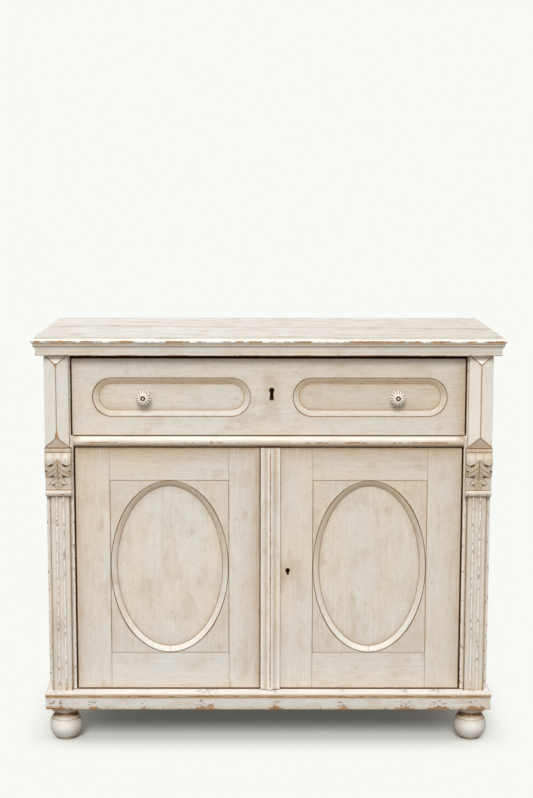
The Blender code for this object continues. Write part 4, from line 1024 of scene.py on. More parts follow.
def leaf_carving(x, z):
    """Height of an acanthus leaf, from 0 to 1, and its glaze, at millimetres from its rib and over its tip.

    The height is the largest of three plateaus: a folded drape above its hem, side lobes between shoulder and
    skirt, and a middle leaf that is widest just over its tip. Veins, the rib's groove and the eyes are sunk
    into it. The veins run down by the logarithm of the way out, so they flare. Hollows and lobes hold tan
    glaze. The glaze also paints light: a painted highlight on the crests, the crests of the drape's folds and
    the ridges midway between two veins, and dark outlines, eyes and groove of painted shade and dirt.
    """
    side, z = np.broadcast_arrays(np.abs(x), z)
    drape = z - np.interp(side, *LEAF_HEM)
    lobe = np.minimum(0.77 * (np.interp(side, *LEAF_SHOULDER) - z), z - np.interp(side, *LEAF_SKIRT))
    tip = 0.8 * (np.interp(z, *LEAF_TIP) - side)
    folds = 0.5 + 0.5 * np.cos(math.tau * side / LEAF_FOLD)
    flare = z + VEIN_FALL * np.log1p(side / VEIN_BEND) - VEIN_START
    from_vein = np.abs(np.mod(flare, VEIN_STEP) - VEIN_STEP / 2)
    veins = bell(from_vein, 0.0, 1.1) * climb(side, 1, 3)
    ridges = bell(from_vein, VEIN_STEP / 2, 2.0) * climb(side, 2, 4)
    height = np.maximum.reduce([plateau(drape) * (0.84 + 0.16 * folds),
                                plateau(lobe) * (0.60 + 0.12 * climb(lobe, 0, 6) - 0.10 * veins),
                                plateau(tip) * (0.52 + 0.14 * climb(tip, 0, 6) - 0.08 * veins)])
    eyes = np.zeros(height.shape)
    for across, up, long, short, lean in LEAF_EYES:
        cos, sin = math.cos(math.radians(lean)), math.sin(math.radians(lean))
        along = (side - across) * cos - (z - up) * sin
        beside = (side - across) * sin + (z - up) * cos
        eyes = np.maximum(eyes, np.exp(-(along / long) ** 2 - (beside / short) ** 2))
    groove = bell(side, 0.0, 0.9) * climb(z, 18, 4) * climb(77 - z, 0, 3)
    # Painted light: dark outlines of painted shade just outside each plateau's edge, painted highlights on
    # crests, ridges and fold crests, and eyes and groove dark with painted shade and dirt
    low = np.clip(1.2 - height / 0.45, 0, 1)
    shade_outline = np.maximum.reduce([bell(edge, -0.7, 0.8) for edge in (drape, lobe, tip)])
    crest = np.maximum(bell(lobe, 1.1, 0.9), bell(tip, 1.1, 0.9) * (lobe < 0))
    blade = 0.75 + 0.45 * veins - 1.5 * np.maximum(crest, 0.70 * ridges)
    tan = np.where(drape > 0, 0.50 - 1.40 * folds, np.where(low > 0.5, 0.35, blade))
    glaze = np.maximum.reduce([tan, 1.9 * shade_outline * low, 4.6 * eyes, 1.9 * groove])
    return height - 0.5 * eyes - 0.22 * groove, glaze


def carved_corbel(word, sizes):
    """Corbel: roll, swelling leaf and cap as one front profile, with the leaf carved into the swell.

    The front is a grid over width and profile. Its reach is the profile's, less the carving's depth where
    the leaf lies low.
    """
    node = f"corbel_{word}"
    low, high = node_box(node)
    half = (high[0] - low[0]) / 2
    face = node_box(f"fluted_pilaster_{word}")[0][1]
    leaf_low, leaf_high = low[2] + sizes.corbel_roll, high[2] - sizes.corbel_cap
    leaf_reach, cap_reach, roll_reach = face - low[1], 0.010, 0.0055
    tuck, crest = 0.010, leaf_high - 0.018
    cap = sizes.corbel_cap

    turn = np.linspace(-math.pi / 2, math.pi / 2, 15)
    roll_z = low[2] + sizes.corbel_roll / 2 * (1 + np.sin(turn))
    leaf_z = np.linspace(leaf_low, leaf_high - 0.0004, 170)
    below = climb(leaf_z, leaf_low, crest - leaf_low)
    above = np.clip((leaf_z - crest) / (leaf_high - crest), 0, None)
    cap_z = leaf_high + np.array([0.0, 0.0006, 0.0014, cap / 2, cap - 0.0012, cap])
    z = joined(roll_z, leaf_z, cap_z)[:, None]
    out = joined(roll_reach * np.cos(turn), leaf_reach * np.sin(math.pi / 2 * below) ** 2 - tuck * above ** 2,
                 cap_reach - np.array([0.0012, 0.0003, 0.0, 0.0, 0.0, 0.0010]))[:, None]
    carve = joined(np.zeros(len(roll_z)), np.ones(len(leaf_z)), np.zeros(len(cap_z)))[:, None]
    x = spread(-half, half, 0.00055, (0.0003, 0.0008))
    share = climb(z, leaf_low, leaf_high - leaf_low)
    leaf, stain_and_painted_light = leaf_carving(x * 1000, share * LEAF_HEIGHT)
    window = climb(share, 0.0, 0.03) * carve
    sink = sizes.leaf_relief * (1 - leaf) * window * np.clip(out / 0.006, 0.25, 1)
    bevel = np.clip(1 - (half - np.abs(x)) / sizes.arris, 0, 1) ** 2 * sizes.arris
    reach = np.maximum(out - sink - bevel, -0.004)

    roll_share = (z - low[2]) / sizes.corbel_roll
    rubbed = 0.40 * climb(leaf, 0.62, 0.2) * window
    border = 0.44 * falloff(half - np.abs(x), 0.0012)
    scuff = np.where(z < leaf_low, 0.62 * bell(roll_share, 0.35, 0.25), 0.0)
    wear = np.maximum(np.maximum(rubbed, border), scuff)
    lines = sum(falloff(np.abs(z - line), 0.0011) for line in (leaf_high, leaf_low, low[2], high[2]))
    # Painted light on the roll: painted shade on its lower half and a painted highlight on its upper half;
    # the cap is tan
    plain = np.where(z > leaf_high, 0.50, np.where(z < leaf_low, 0.9 - 1.6 * roll_share, -1.0))
    lines = np.where(lines > 0.2, 1.9 * lines, plain)
    glaze = np.clip(np.maximum(np.where(window > 0, stain_and_painted_light, -1.0), lines), -1, 2.2)
    front = stacked(low[0] + half + x, face - reach, z)
    skin = Skin()
    skin.grid(front, wear, glaze)
    for column in (0, -1):
        wall = np.stack([front[:, column], front[:, column]], 1)
        wall[:, 1, 1] = high[1]
        skin.grid(wall, 0.0, 0.3)
    for row in (0, -1):
        lid = np.stack([front[row], front[row]])
        lid[1, :, 1] = high[1]
        skin.grid(lid, 0.0, 0.3)
    back = np.stack([front[:, 0], front[:, -1]], 1)
    back[..., 1] = high[1]
    skin.cap(joined(back[:, 0], back[::-1, 1]))
    skin.piece(f"{node}_carved", node, brushed_paint("z"), sharp=60)


# Case

def make_case(sizes):
    """Sides and shelf as rounded boards, notched stiles and a back of planks.

    Bottom, hidden rail and runners keep their solids.
    """
    for word, side in SIDES:
        # The glaze at the top also hangs a painted shadow down from under the top
        skin = board(f"side_{word}", sizes.arris, {"back": 0.45, "bottom": 0.3},
                     {"top": 0.6, "bottom": 0.4, "back": 0.4})
        skin.painted(f"side_{word}", "z", (0, -side))
        notched_stile(word, side, sizes)
    back_planks()
    board("shelf", sizes.arris).piece("shelf_planed", "shelf", planed_pine("x"))
    dress("top_rail", planed_pine("x"))
    for word, _ in SIDES:
        dress(f"drawer_runner_{word}", planed_pine("y"))
    dress("bottom_board", planed_pine("x", node_box("bottom_board")[0][2] + 0.003))


def notched_stile(word, side, sizes):
    """Corner stile, narrower beside the drawer.

    Its outline, drawn in a little more from ring to ring, goes round the rounded front edge and in over the
    face.
    """
    node = f"stile_{word}"
    low, high = node_box(node)
    inner, outer = (low[0], high[0])[::side]
    notch = side * (node_box("top_rail")[1][0] + GAP)
    ledge = node_box("drawer_rail")[1][2] + GAP
    levels = (low[2], low[2], high[2], high[2], ledge, ledge)
    corners = np.array(list(zip((inner, outer, outer, notch, notch, inner), levels)))
    inwards = np.array([(side, 1), (-side, 1), (-side, -1), (side, -1), (side, -1), (side, -1)])
    draw = np.array([0.0, 0.0, 0.3 * sizes.arris, sizes.arris, 0.003, 0.008])[:, None, None]
    y = low[1] + np.array([high[1] - low[1], sizes.arris, 0.3 * sizes.arris, 0.0, 0.0, 0.0])[:, None]
    rings = corners + draw * inwards
    shares = np.linspace(0, 1, 24, endpoint=False)[:, None]
    runs = rings[:, :, None] + (np.roll(rings, -1, 1) - rings)[:, :, None] * shares
    runs = runs.reshape(len(draw), -1, 2)
    x, z = runs[..., 0], runs[..., 1]
    mouth = np.abs(x - np.where(z > ledge - 0.001, notch, inner))
    # A dark line of dirt and painted shade at the gap's mouth, darker towards the top; elsewhere a painted
    # highlight lifts the face, more on its inner half
    dirt = np.maximum(2.4 * falloff(mouth, JOINT_SHADE_REACH), 0.5 * falloff(high[2] - z, 0.02))
    painted_light = np.where(side * (x - (low[0] + high[0]) / 2) > 0, 0.35, 0.65)
    dirt = np.where(dirt > 0.1, dirt, -painted_light)
    wear = np.array([0.0, 0.4, 0.5, 0.52, 0.48, 0.45])[:, None]
    skin = carried(stacked(x, y, z), wear, dirt)
    skin.painted(node, "z")


def dress(node, finish):
    """Gives a frame node that keeps its solid its finish."""
    materials = frame["nodes"][node].data.materials
    materials.clear()
    materials.append(finish)


def back_planks():
    """Back of six upright planks: a flat plan with a V groove between two planks on both faces."""
    low, high = node_box("back_panel")
    planks, groove = 6, 0.0022
    corners = []
    for y, dip, order in ((low[1], groove, 1), (high[1], -groove, -1)):
        line = []
        for k in range(1, planks):
            x = low[0] + (high[0] - low[0]) * k / planks
            line += [(x - groove, y, 0.0, 0.0, 0.4), (x, y + dip, 0.0, 0.0, 1.0),
                     (x + groove, y, 0.0, 0.0, 0.4)]
        corners += [(low[0], y, 0.0, 0.0, 0.0), *line, (high[0], y, 0.0, 0.0, 0.0)][::order]
    x, y, wear, glaze = eased(corners)
    z = spread(low[2], high[2], 0.1)[:, None]
    carried(stacked(x, y, z), wear, glaze).piece("back_planks", "back_panel", planed_pine("z"))


# Feet

COLLAR_HEIGHT = 0.0155
BALL_LIFT = 0.0355                              # middle of the ball over the floor
NECK_FLARE = 0.009                              # how much wider the hollow neck grows
SCRATCH_DEPTH = 0.0006                          # line scratched round the ball


def make_feet():
    """Turned bun feet: a profile of radius and height spun round, with base ring, ball, neck and collar."""
    top = node_box("plinth_front")[0][2] - GAP
    collar = top - COLLAR_HEIGHT
    lean = np.radians(np.linspace(-46, 47.2, 48))
    flare = np.linspace(0, math.pi / 2, 12)[1:]
    scratch = bell(lean, 0.485, 0.020)
    turn = np.linspace(0, math.tau, 72, endpoint=False)
    aside = 1 - np.clip(-np.sin(turn), 0, 1)
    for node in [f"foot_{place}_{word}" for place in ("front", "back") for word, _ in SIDES]:
        low, high = node_box(node)
        axis = (low + high) / 2
        ball = (high[0] - low[0]) / 2
        neck_radius, neck = ball * math.cos(lean[-1]), BALL_LIFT + ball * math.sin(lean[-1])
        radius = joined([0, 0.0215, 0.0228, 0.0232, 0.0228], ball * np.cos(lean) - SCRATCH_DEPTH * scratch,
                        neck_radius + NECK_FLARE * (1 - np.cos(flare)), [0.0372, 0.038, 0.038, 0.0372, 0.0])
        height = joined([0, 0, 0.0012, 0.003, 0.0055], BALL_LIFT + ball * np.sin(lean),
                        neck + (collar - neck) * np.sin(flare),
                        [collar, collar + 0.0008, top - 0.0008, top, top])
        wear = joined([0, 0.2, 0.4, 0.3, 0.2], 0.42 * bell(lean, 0.1, 0.6), np.zeros(len(flare)),
                      [0.42, 0.45, 0.3, 0.3, 0.0])
        # Painted light in the glaze: a painted shadow on the upper ball and the neck under the collar, a
        # painted highlight across the middle, and dark bands at the foot and along the scratched line, dirt
        # and painted shade
        shade = (1.2 * bell(lean, 0.80, 0.16) + 1.5 * scratch - 0.7 * bell(lean, 0.05, 0.4)
                 + 1.2 * bell(lean, -0.80, 0.05))
        glaze = joined([1.4, 1.2, 0.6, 0.6, 1.5], shade, 1.4 * np.cos(flare), [1.2, 0.5, 0.5, 1.0, 0.5])
        points = stacked(axis[0] + radius[:, None] * np.cos(turn), axis[1] + radius[:, None] * np.sin(turn),
                         low[2] + height[:, None])
        skin = Skin()
        # Painted shade that grows round the sides to the back of each foot, away from the light
        skin.grid(points, wear[:, None], np.clip(glaze[:, None] + 1.10 * aside ** 0.8, -1, 2),
                  wrap_columns=True)
        skin.piece(f"{node}_turned", node, brushed_paint("z"))


# Doors

def oval_ring(middle, half, drawn_in, turn):
    """Points of an oval whose half axes are drawn in by the same length."""
    across = middle[0] + (half[0] - drawn_in) * np.cos(turn)
    up = middle[1] + (half[1] - drawn_in) * np.sin(turn)
    return across, up


def make_doors(sizes):
    """Framed doors: stiles, rails, a board with an oval hole, the oval moulding and the sunk field."""
    for word, side in SIDES:
        hinge, meeting = ("left", "right")[::-side]
        door = f"{word}_door_"

        def member(name, grain, wear, glaze, dirt):
            board(door + name, sizes.joint, wear, glaze, dirt).painted(door + name, grain)

        # The glaze at the top of each member and stile also hangs a painted shadow down from under the rail,
        # and the dark lines along their edges are dirt and painted shade in the gaps
        member("hinge_stile", "z", {hinge: 0.40, "bottom": 0.3}, {hinge: 0.62, "top": 1.0, "bottom": 0.55},
               {hinge: 3.4, meeting: 0.7, "top": 2.6, "bottom": 2.2})
        member("lower_rail", "x", {"bottom": 0.3}, {"bottom": 0.45},
               {"left": 0.8, "right": 0.8, "top": 0.8, "bottom": 2.2})
        member("upper_rail", "x", {"bottom": 0.2}, {"top": 1.0},
               {"left": 0.5, "right": 0.5, "bottom": 0.8, "top": 2.6})
        if side < 0:
            grooved_stile({"right": 0.3}, {"right": 0.85, "top": 1.0, "bottom": 0.45},
                          {"left": 0.7, "right": 1.4, "top": 2.6, "bottom": 2.2})
        else:
            keyed_stile(sizes)
        low, high = node_box(door + "spandrels")
        middle, half = ((low + high) / 2)[[0, 2]], ((high - low) / 2)[[0, 2]]
        oval = half - sizes.oval_margin
        oval_board(door, middle, half, oval, sizes.joint)
        oval_moulding(door, middle, oval, sizes)
        oval_field(door, middle, oval - sizes.oval_width)
    cover_strip()


def grooved_stile(wear, glaze, dirt):
    """Meeting stile of the left door: its plan carried up, with a groove in the edge where the bolt lies.

    Four more points of the plan lie flat on that edge. Above the bolt's foot the middle two are pushed in.
    """
    node = "left_door_meeting_stile"
    low, high = node_box(node)
    bolt_low, bolt_high = node_box("left_door_edge_bolt")
    across = spread(low[0], high[0], 0.05, FADE_ROWS)
    count = len(across)
    x = joined(across, np.full(4, high[0]), across[::-1])
    y = joined(np.full(count, low[1]), np.repeat([bolt_low[1] - GAP, bolt_high[1] + GAP], 2),
               np.full(count, high[1]))
    foot = bolt_low[2] - GAP
    below, beside = spread(low[2], foot, 0.03, FADE_ROWS), spread(foot, high[2], 0.03, FADE_ROWS)
    z = joined(below, beside)[:, None]
    x = np.tile(x, (len(z), 1))
    x[len(below):, count + 1:count + 3] = bolt_low[0] - GAP
    points = stacked(x, y, z)
    skin = carried(points, edge_fade(points, low, high, wear, WEAR_REACH),
                   stained(points, low, high, glaze, dirt))
    skin.painted(node, "z")


def oval_board(door, middle, half, oval, edge):
    """Board with an oval hole: straight lines from the rim of its rectangle to the oval.

    A point of the rim and the point of the oval that it runs to have the same angle, once the rectangle is
    scaled to a square and the oval to a circle.
    """
    node = door + "spandrels"
    low, high = node_box(node)
    u, v = rim(*(spread(low[axis], high[axis], 0.006, (edge, *FADE_ROWS)) for axis in (0, 2)))
    turn = np.arctan2((v - middle[1]) / half[1], (u - middle[0]) / half[0])
    hole_u, hole_v = oval_ring(middle, oval, 0.0, turn)
    share = np.array([0.0, 0.006, 0.02, 0.06, 0.2, 0.5, 0.8, 0.94, 0.98, 1.0])[:, None]
    way = 0.05                                  # roughly from the rim to the oval
    rim_u = middle[0] + (u - middle[0]) * (half[0] - edge) / half[0]
    rim_v = middle[1] + (v - middle[1]) * (half[1] - edge) / half[1]
    face_u, face_v = rim_u + (hole_u - rim_u) * share, rim_v + (hole_v - rim_v) * share
    aside, above = half[0] - np.abs(face_u - middle[0]), half[1] - np.abs(face_v - middle[1])
    # Dark lines of dirt and painted shade along the frame's joints and round the gap at the oval, darker at
    # the left and the top, the side the shade falls on
    weight = np.where(aside < above, np.where(face_u < middle[0], 3.0, 2.5),
                      np.where(face_v > middle[1], 2.2, 1.7))
    dirt = np.maximum(weight * falloff(np.minimum(aside, above), JOINT_SHADE_REACH),
                      2.3 * falloff((1 - share) * way, JOINT_SHADE_REACH))
    depth = joined([high[1], low[1] + edge], np.full(len(share), low[1]), [high[1]])[:, None]
    points = stacked(joined([u, u], face_u, hole_u[None]), depth, joined([v, v], face_v, hole_v[None]))
    stain_and_painted_light = joined(np.ones((2, len(u))), np.maximum(dirt, 0.20), np.full((1, len(u)), 1.8))
    skin = Skin()
    skin.grid(points, 0.0, stain_and_painted_light, wrap_rows=True, wrap_columns=True)
    skin.piece(f"{node}_painted", node, brushed_paint("z"))


def oval_moulding(door, middle, oval, sizes):
    """Moulding round the oval hole: a profile of (drawn in, depth) carried round it, in two lengths.

    The profile has a rounded land and a slope to the field, straight but for the arch of a sine. Wear and
    dirt mark the joints above and below.
    """
    node = door + "oval_moulding"
    low, high = node_box(door + "spandrels")
    land, width = sizes.oval_land, sizes.oval_width
    sunk, lip = high[1] - low[1], 0.0004
    near = np.array([-0.010, -0.004, 0.0, 0.004, 0.010])
    turn = np.unique(joined(np.linspace(0, math.tau, 161)[:-1], math.pi / 2 + near, 1.5 * math.pi + near))
    slope = np.linspace(0, 1, 10)[1:]
    inset = joined([GAP, GAP, GAP + 0.0006, land * 0.6, land], land + (width - land) * slope, [GAP])
    fall = joined([sunk, 0.0010, 0.0003, 0.0, lip],
                  lip + (sunk - lip) * (slope - 0.10 * np.sin(math.pi * slope)), [sunk])
    wear = joined([0, 0.42, 0.36, 0.20, 0.12], 0.10 * (1 - slope), [0])[:, None]
    # Dirt and painted shade darken the gap at the outer edge, and tan with painted shade lies at the foot of
    # the slope; the upper half of the moulding gets painted shade and the lower half a painted highlight
    glaze = joined([2.4, 2.4, 1.9, 0.25, 0.1], 0.12 + np.clip((slope - 0.80) * 7.5, 0, 1.5), [0.6])[:, None]
    across, up = oval_ring(middle, oval, inset[:, None], turn)
    joints = np.exp(-(np.cos(turn) * oval[0] / 0.0009) ** 2)
    shade = np.where(glaze < 0.5, 0.6, 0.0) * np.sin(turn)
    skin = Skin()
    skin.grid(stacked(across, (low[1] + fall)[:, None], up), np.maximum(wear, 0.62 * joints * (wear > 0)),
              np.maximum(glaze + shade, 1.5 * joints - 0.7), wrap_rows=True, wrap_columns=True)
    skin.piece(f"{node}_painted", node, brushed_paint("z"), sharp=50)


def oval_field(door, middle, seen):
    """Sunk field behind the oval: a flat board, tan along the oval that is seen of it.

    That oval has the given half axes. The tan falls off with the distance from it.
    """
    node = door + "panel"
    low, high = node_box(node)
    size = 0.15                                 # turns a share of the oval into a length
    us, vs = spread(low[0], high[0], 0.007), spread(low[2], high[2], 0.007)
    u, v = np.meshgrid(us, vs, indexing="ij")
    inside = (1 - np.hypot((u - middle[0]) / seen[0], (v - middle[1]) / seen[1])) * size
    # Tan along the oval: glaze, and painted shade at the foot of the moulding
    stain_and_painted_light = np.where(inside > -0.02, 0.40 * falloff(np.abs(inside), 0.008), 0.3)
    skin = Skin()
    skin.grid(stacked(u, low[1], v), 0.0, stain_and_painted_light)
    skin.grid(stacked(u, high[1], v))
    u, v = rim(us, vs)
    skin.grid(stacked(u, np.array([low[1], high[1]])[:, None], v), 0.0, 0.3, wrap_columns=True)
    skin.painted(node, "z")


def cover_strip():
    """Strip over the meeting of the doors: a worn ridge, two coves and two border beads, carried up."""
    node = "right_door_cover_strip"
    low, high = node_box(node)
    middle, half = (low[0] + high[0]) / 2, (high[0] - low[0]) / 2
    ridge, bead, crest, dip, bead_base = 0.0042, 0.0040, high[1] - low[1], 0.0026, 0.0096
    first = np.linspace(0, 1, 7)
    s = first[1:]
    arch = np.sin(math.pi * s)
    top_out, top = ridge * first, crest - 0.0026 * first ** 2
    cove = top[-1] + (bead_base - top[-1]) * s - dip * arch
    roll = bead_base + 0.0012 * arch - 0.0006 * s
    out = joined(top_out, ridge + (half - bead - ridge) * s, half - bead + bead * s, [half])
    rise = joined(top, cove, roll, [0.0])
    wear = joined(1.05 * bell(top_out, 0.0, 0.0019), np.zeros(6), 0.30 * arch, [0.1])
    wear[-2] = 0.66
    # Painted highlights on the ridge's flanks and on the beads, tan in the coves, and dirt and painted shade
    # at the outer edges beside the gaps
    glaze = joined(-0.8 * np.sin(math.pi / 2 * first), 0.75 * arch ** 2 - 0.3,
                   [0.3, -0.7, -0.9, -0.7, -0.3, 0.9], [1.3])
    x = joined(middle - out[::-1], middle + out[1:])
    rise, wear, glaze = (joined(values[::-1], values[1:]) for values in (rise, wear, glaze))
    z = spread(low[2], high[2], 0.02, (0.0012, 0.004, 0.010))[:, None]
    ends = falloff(np.minimum(z - low[2], high[2] - z), 0.004)
    skin = carried(stacked(x, high[1] - rise, z), wear * (1 - 0.7 * ends),
                   np.clip(glaze + 0.4 * ends, -1, 1.3))
    skin.piece(f"{node}_carved", node, brushed_paint("z"))


# Boards with holes

def stadium_rings(u, v, middle, reach, cell):
    """Feet and directions for the rings of a round-ended panel.

    A point on the cell's rim is tied to the nearest point of the cell's middle line, and its ring point lies
    at the ring's radius from the matching point of the panel's middle line, in the same direction.
    """
    spare = cell[0] - cell[1]
    foot = np.clip(u - middle[0], -spare, spare)
    away = np.stack([u - middle[0] - foot, v - middle[1]])
    away = away / np.linalg.norm(away, axis=0)
    foot = foot * reach / spare
    return middle[0] + foot, middle[1] + 0 * foot, away


def keyhole_ring(u, v, centre, head, slot, flare, drop):
    """Points of a keyhole, seen from the middle of its round head along rays to the rim points.

    Each ray ends at the head's radius, or further on where the slot below it, which widens downwards by the
    flare at its foot, reaches further.
    """
    away = np.stack([u - centre[0], v - centre[1]])
    away = away / np.linalg.norm(away, axis=0)
    down = np.maximum(-away[1], 1e-6)
    sides = np.maximum(np.abs(away[0]) - flare / 2 / drop * down, 1e-6)
    slot_end = np.minimum(slot / 2 / sides, drop / down)
    far = np.where(away[1] < 0, np.maximum(head, slot_end), head)
    return centre[0] + away[0] * far, centre[1] + away[1] * far


def pierced_board(low, high, radius, cells, vs, place, wear, glaze, dirt):
    """A board whose face is a row of cells, plain or with something sunk or cut into it, and its rounded rim.

    Each cell is (lines us, maker, through). The maker gets the cell's lines and adds its front, and also its
    back where it cuts right through. The rim's rings swell out and back round a quarter circle at the front
    and at the back.
    """
    skin = Skin()

    def put(u, v, y, extra_wear=0.0, extra_glaze=0.0, **wrap):
        points = place(u, v, y + 0 * u)
        skin.grid(points, np.maximum(edge_fade(points, low, high, wear, WEAR_REACH), extra_wear),
                  np.maximum(stained(points, low, high, glaze, dirt), extra_glaze), **wrap)

    front, back = low[1], high[1]
    for us, maker, through in cells:
        if maker:
            maker(put, us, vs)
        u, v = np.meshgrid(us, vs, indexing="ij")
        for y, plain in ((front, maker is None), (back, not through)):
            if plain:
                put(u, v, y)
    every = np.unique(joined(*(us for us, _, _ in cells)))
    u, v = rim(every, vs)
    swing = np.radians(np.linspace(0, 90, 4))
    swell = radius * joined(np.sin(swing), np.cos(swing))[:, None]
    depth = joined(front + radius * (1 - np.cos(swing)), back - radius * (1 - np.sin(swing)))[:, None]
    centre = ((every[0] + every[-1]) / 2, (vs[0] + vs[-1]) / 2)
    half = ((every[-1] - every[0]) / 2, (vs[-1] - vs[0]) / 2)
    put(centre[0] + (u - centre[0]) * (1 + swell / half[0]),
        centre[1] + (v - centre[1]) * (1 + swell / half[1]), depth, wrap_columns=True)
    return skin


def keyhole_maker(opening, front, back, room, head, slot, flare):
    """Middle of a keyhole's head, and a maker that cuts the keyhole through a cell, its front edge worn.

    The keyhole lies round an opening that the record states, with some room above and below it.
    """
    low, high = stated("physics", "openings", opening)["box_m"]
    centre = ((low[0] + high[0]) / 2, high[2] + room - head)
    drop = centre[1] - low[2] + room

    def keyhole(put, us, vs):
        u, v = rim(us, vs)
        hole_u, hole_v = keyhole_ring(u, v, centre, head, slot, flare, drop)
        share = np.array([0.0, 0.02, 0.05, 0.1, 0.3, 0.7, 0.9, 0.965, 0.985, 1.0])[:, None]
        face_u, face_v = u + (hole_u - u) * share, v + (hole_v - v) * share
        # Tan round the keyhole; its rim and walls are dark with dirt and painted shade in the hole
        lip = climb(share, 0.965, 0.035)
        put(face_u, face_v, front, 0.6 * lip, np.maximum(0.40 * climb(share, 0.2, 0.6), 1.9 * lip),
            wrap_columns=True)
        put(face_u, face_v, back, wrap_columns=True)
        depth = np.array([front, front + 0.0006, back])[:, None]
        put(hole_u + 0 * depth, hole_v + 0 * depth, depth, 0.0, 2.0, wrap_columns=True)

    return centre, keyhole


def dish_maker(middle, reach, radius, front, tan, sizes):
    """Sinks a round-ended panel into a cell: a thin quirk, a slightly rounded bevel and a flat field.

    Each ring lies at its own radius from the panel's middle line. The bevel falls in a straight line, less
    the arch of a sine.
    """
    quirk_depth, quirk_width = 0.0011, 0.0005

    def dish(put, us, vs):
        u, v = rim(us, vs)
        cell = ((us[-1] - us[0]) / 2, (vs[-1] - vs[0]) / 2)
        shift = ((us[-1] + us[0]) / 2, (vs[-1] + vs[0]) / 2)
        foot_u, foot_v, away = stadium_rings(u - shift[0] + middle[0], v - shift[1] + middle[1], middle,
                                             reach, cell)
        edge_u, edge_v = foot_u + radius * away[0], foot_v + radius * away[1]
        share = np.array([0.0, 0.03, 0.08, 0.2, 0.5, 0.8, 0.93, 0.98, 1.0])[:, None]
        # The quirk's dark line, darker at the left end, is dirt and painted shade
        line = np.where(away[0] < -0.3, 2.2, 1.6)
        put(u + (edge_u - u) * share, v + (edge_v - v) * share, front, 0.0,
            np.maximum(0.15 * climb(share, 0.7, 0.3), line * climb(share, 0.975, 0.025)), wrap_columns=True)

        slope = np.linspace(0, 1, 9)
        on = slope[1:]
        field = np.array([0.9, 0.72, 0.5, 0.28, 0.1, 0.0])
        brink = radius - quirk_width
        ring = joined([radius, brink], brink - (sizes.dish_width - quirk_width) * on,
                      (radius - sizes.dish_width) * field)[:, None]
        fall = joined([0.0, quirk_depth],
                      quirk_depth + (sizes.dish_depth - quirk_depth) * (on - 0.12 * np.sin(math.pi * on)),
                      np.full(len(field), sizes.dish_depth))[:, None]
        # Painted light on the bevel: painted shade on its upper half and a painted highlight on its lower
        # half, with a tan line along its middle; the field is tan at its edge, with painted shade at the
        # bevel's foot
        bevel = np.clip(slope * 8, 0, 1) * (0.05 + np.where(away[1] > 0, 0.65, 0.45) * away[1])[:, None]
        bevel = bevel + 0.40 * bell(slope, 0.5, 0.07)
        field_tan_and_shade = np.array([0.30, 0.10, 0.05, 0.0, 0.0, 0.0])[:, None] + tan
        stain_and_painted_light = joined([line, line], bevel.T[1:-1], [1.15 + 0 * line], field_tan_and_shade + 0 * line)
        put(foot_u + ring * away[0], foot_v + ring * away[1], front + fall, 0.0, stain_and_painted_light, wrap_columns=True)

    return dish


def keyed_stile(sizes):
    """Meeting stile of the right door, with the keyhole cut through it. Its cells run upwards."""
    node = "right_door_meeting_stile"
    low, high = node_box(node)
    (_, level), cut = keyhole_maker("door_keyhole", low[1], high[1], room=0.001, head=0.005, slot=0.006,
                                    flare=0.0)
    edge, cell = sizes.joint, 0.045
    foot, below, above, top = low[2] + edge, level - cell, level + cell, high[2] - edge
    vs = spread(low[0] + edge, high[0] - edge, 0.0022, FADE_ROWS)

    def keyhole(put, us, vs):
        cut(lambda u, v, *rest, **wrap: put(v, u, *rest, **wrap), vs, us)

    cells = [(spread(foot, below, 0.03, FADE_ROWS), None, False),
             (spread(below, above, 0.0022), keyhole, True),
             (spread(above, top, 0.03, FADE_ROWS), None, False)]
    # The glaze at the top also hangs a painted shadow down from under the rail; the dark edge lines are dirt
    # and painted shade in the gaps
    skin = pierced_board(low, high, edge, cells, vs, lambda u, v, y: stacked(v, y, u), {"bottom": 0.3},
                         {"left": 0.6, "top": 1.0, "bottom": 0.45},
                         {"left": 2.2, "right": 0.7, "top": 2.6, "bottom": 2.2})
    skin.painted(node, "z")


# Drawer

# The right panel's greater tan is painted shade, darker to the right as if the light came from the left
DISHES = ((-0.2313, 0.3766, 0.05), (0.2418, 0.368, 0.24))   # middle, length and tan of the two sunk panels


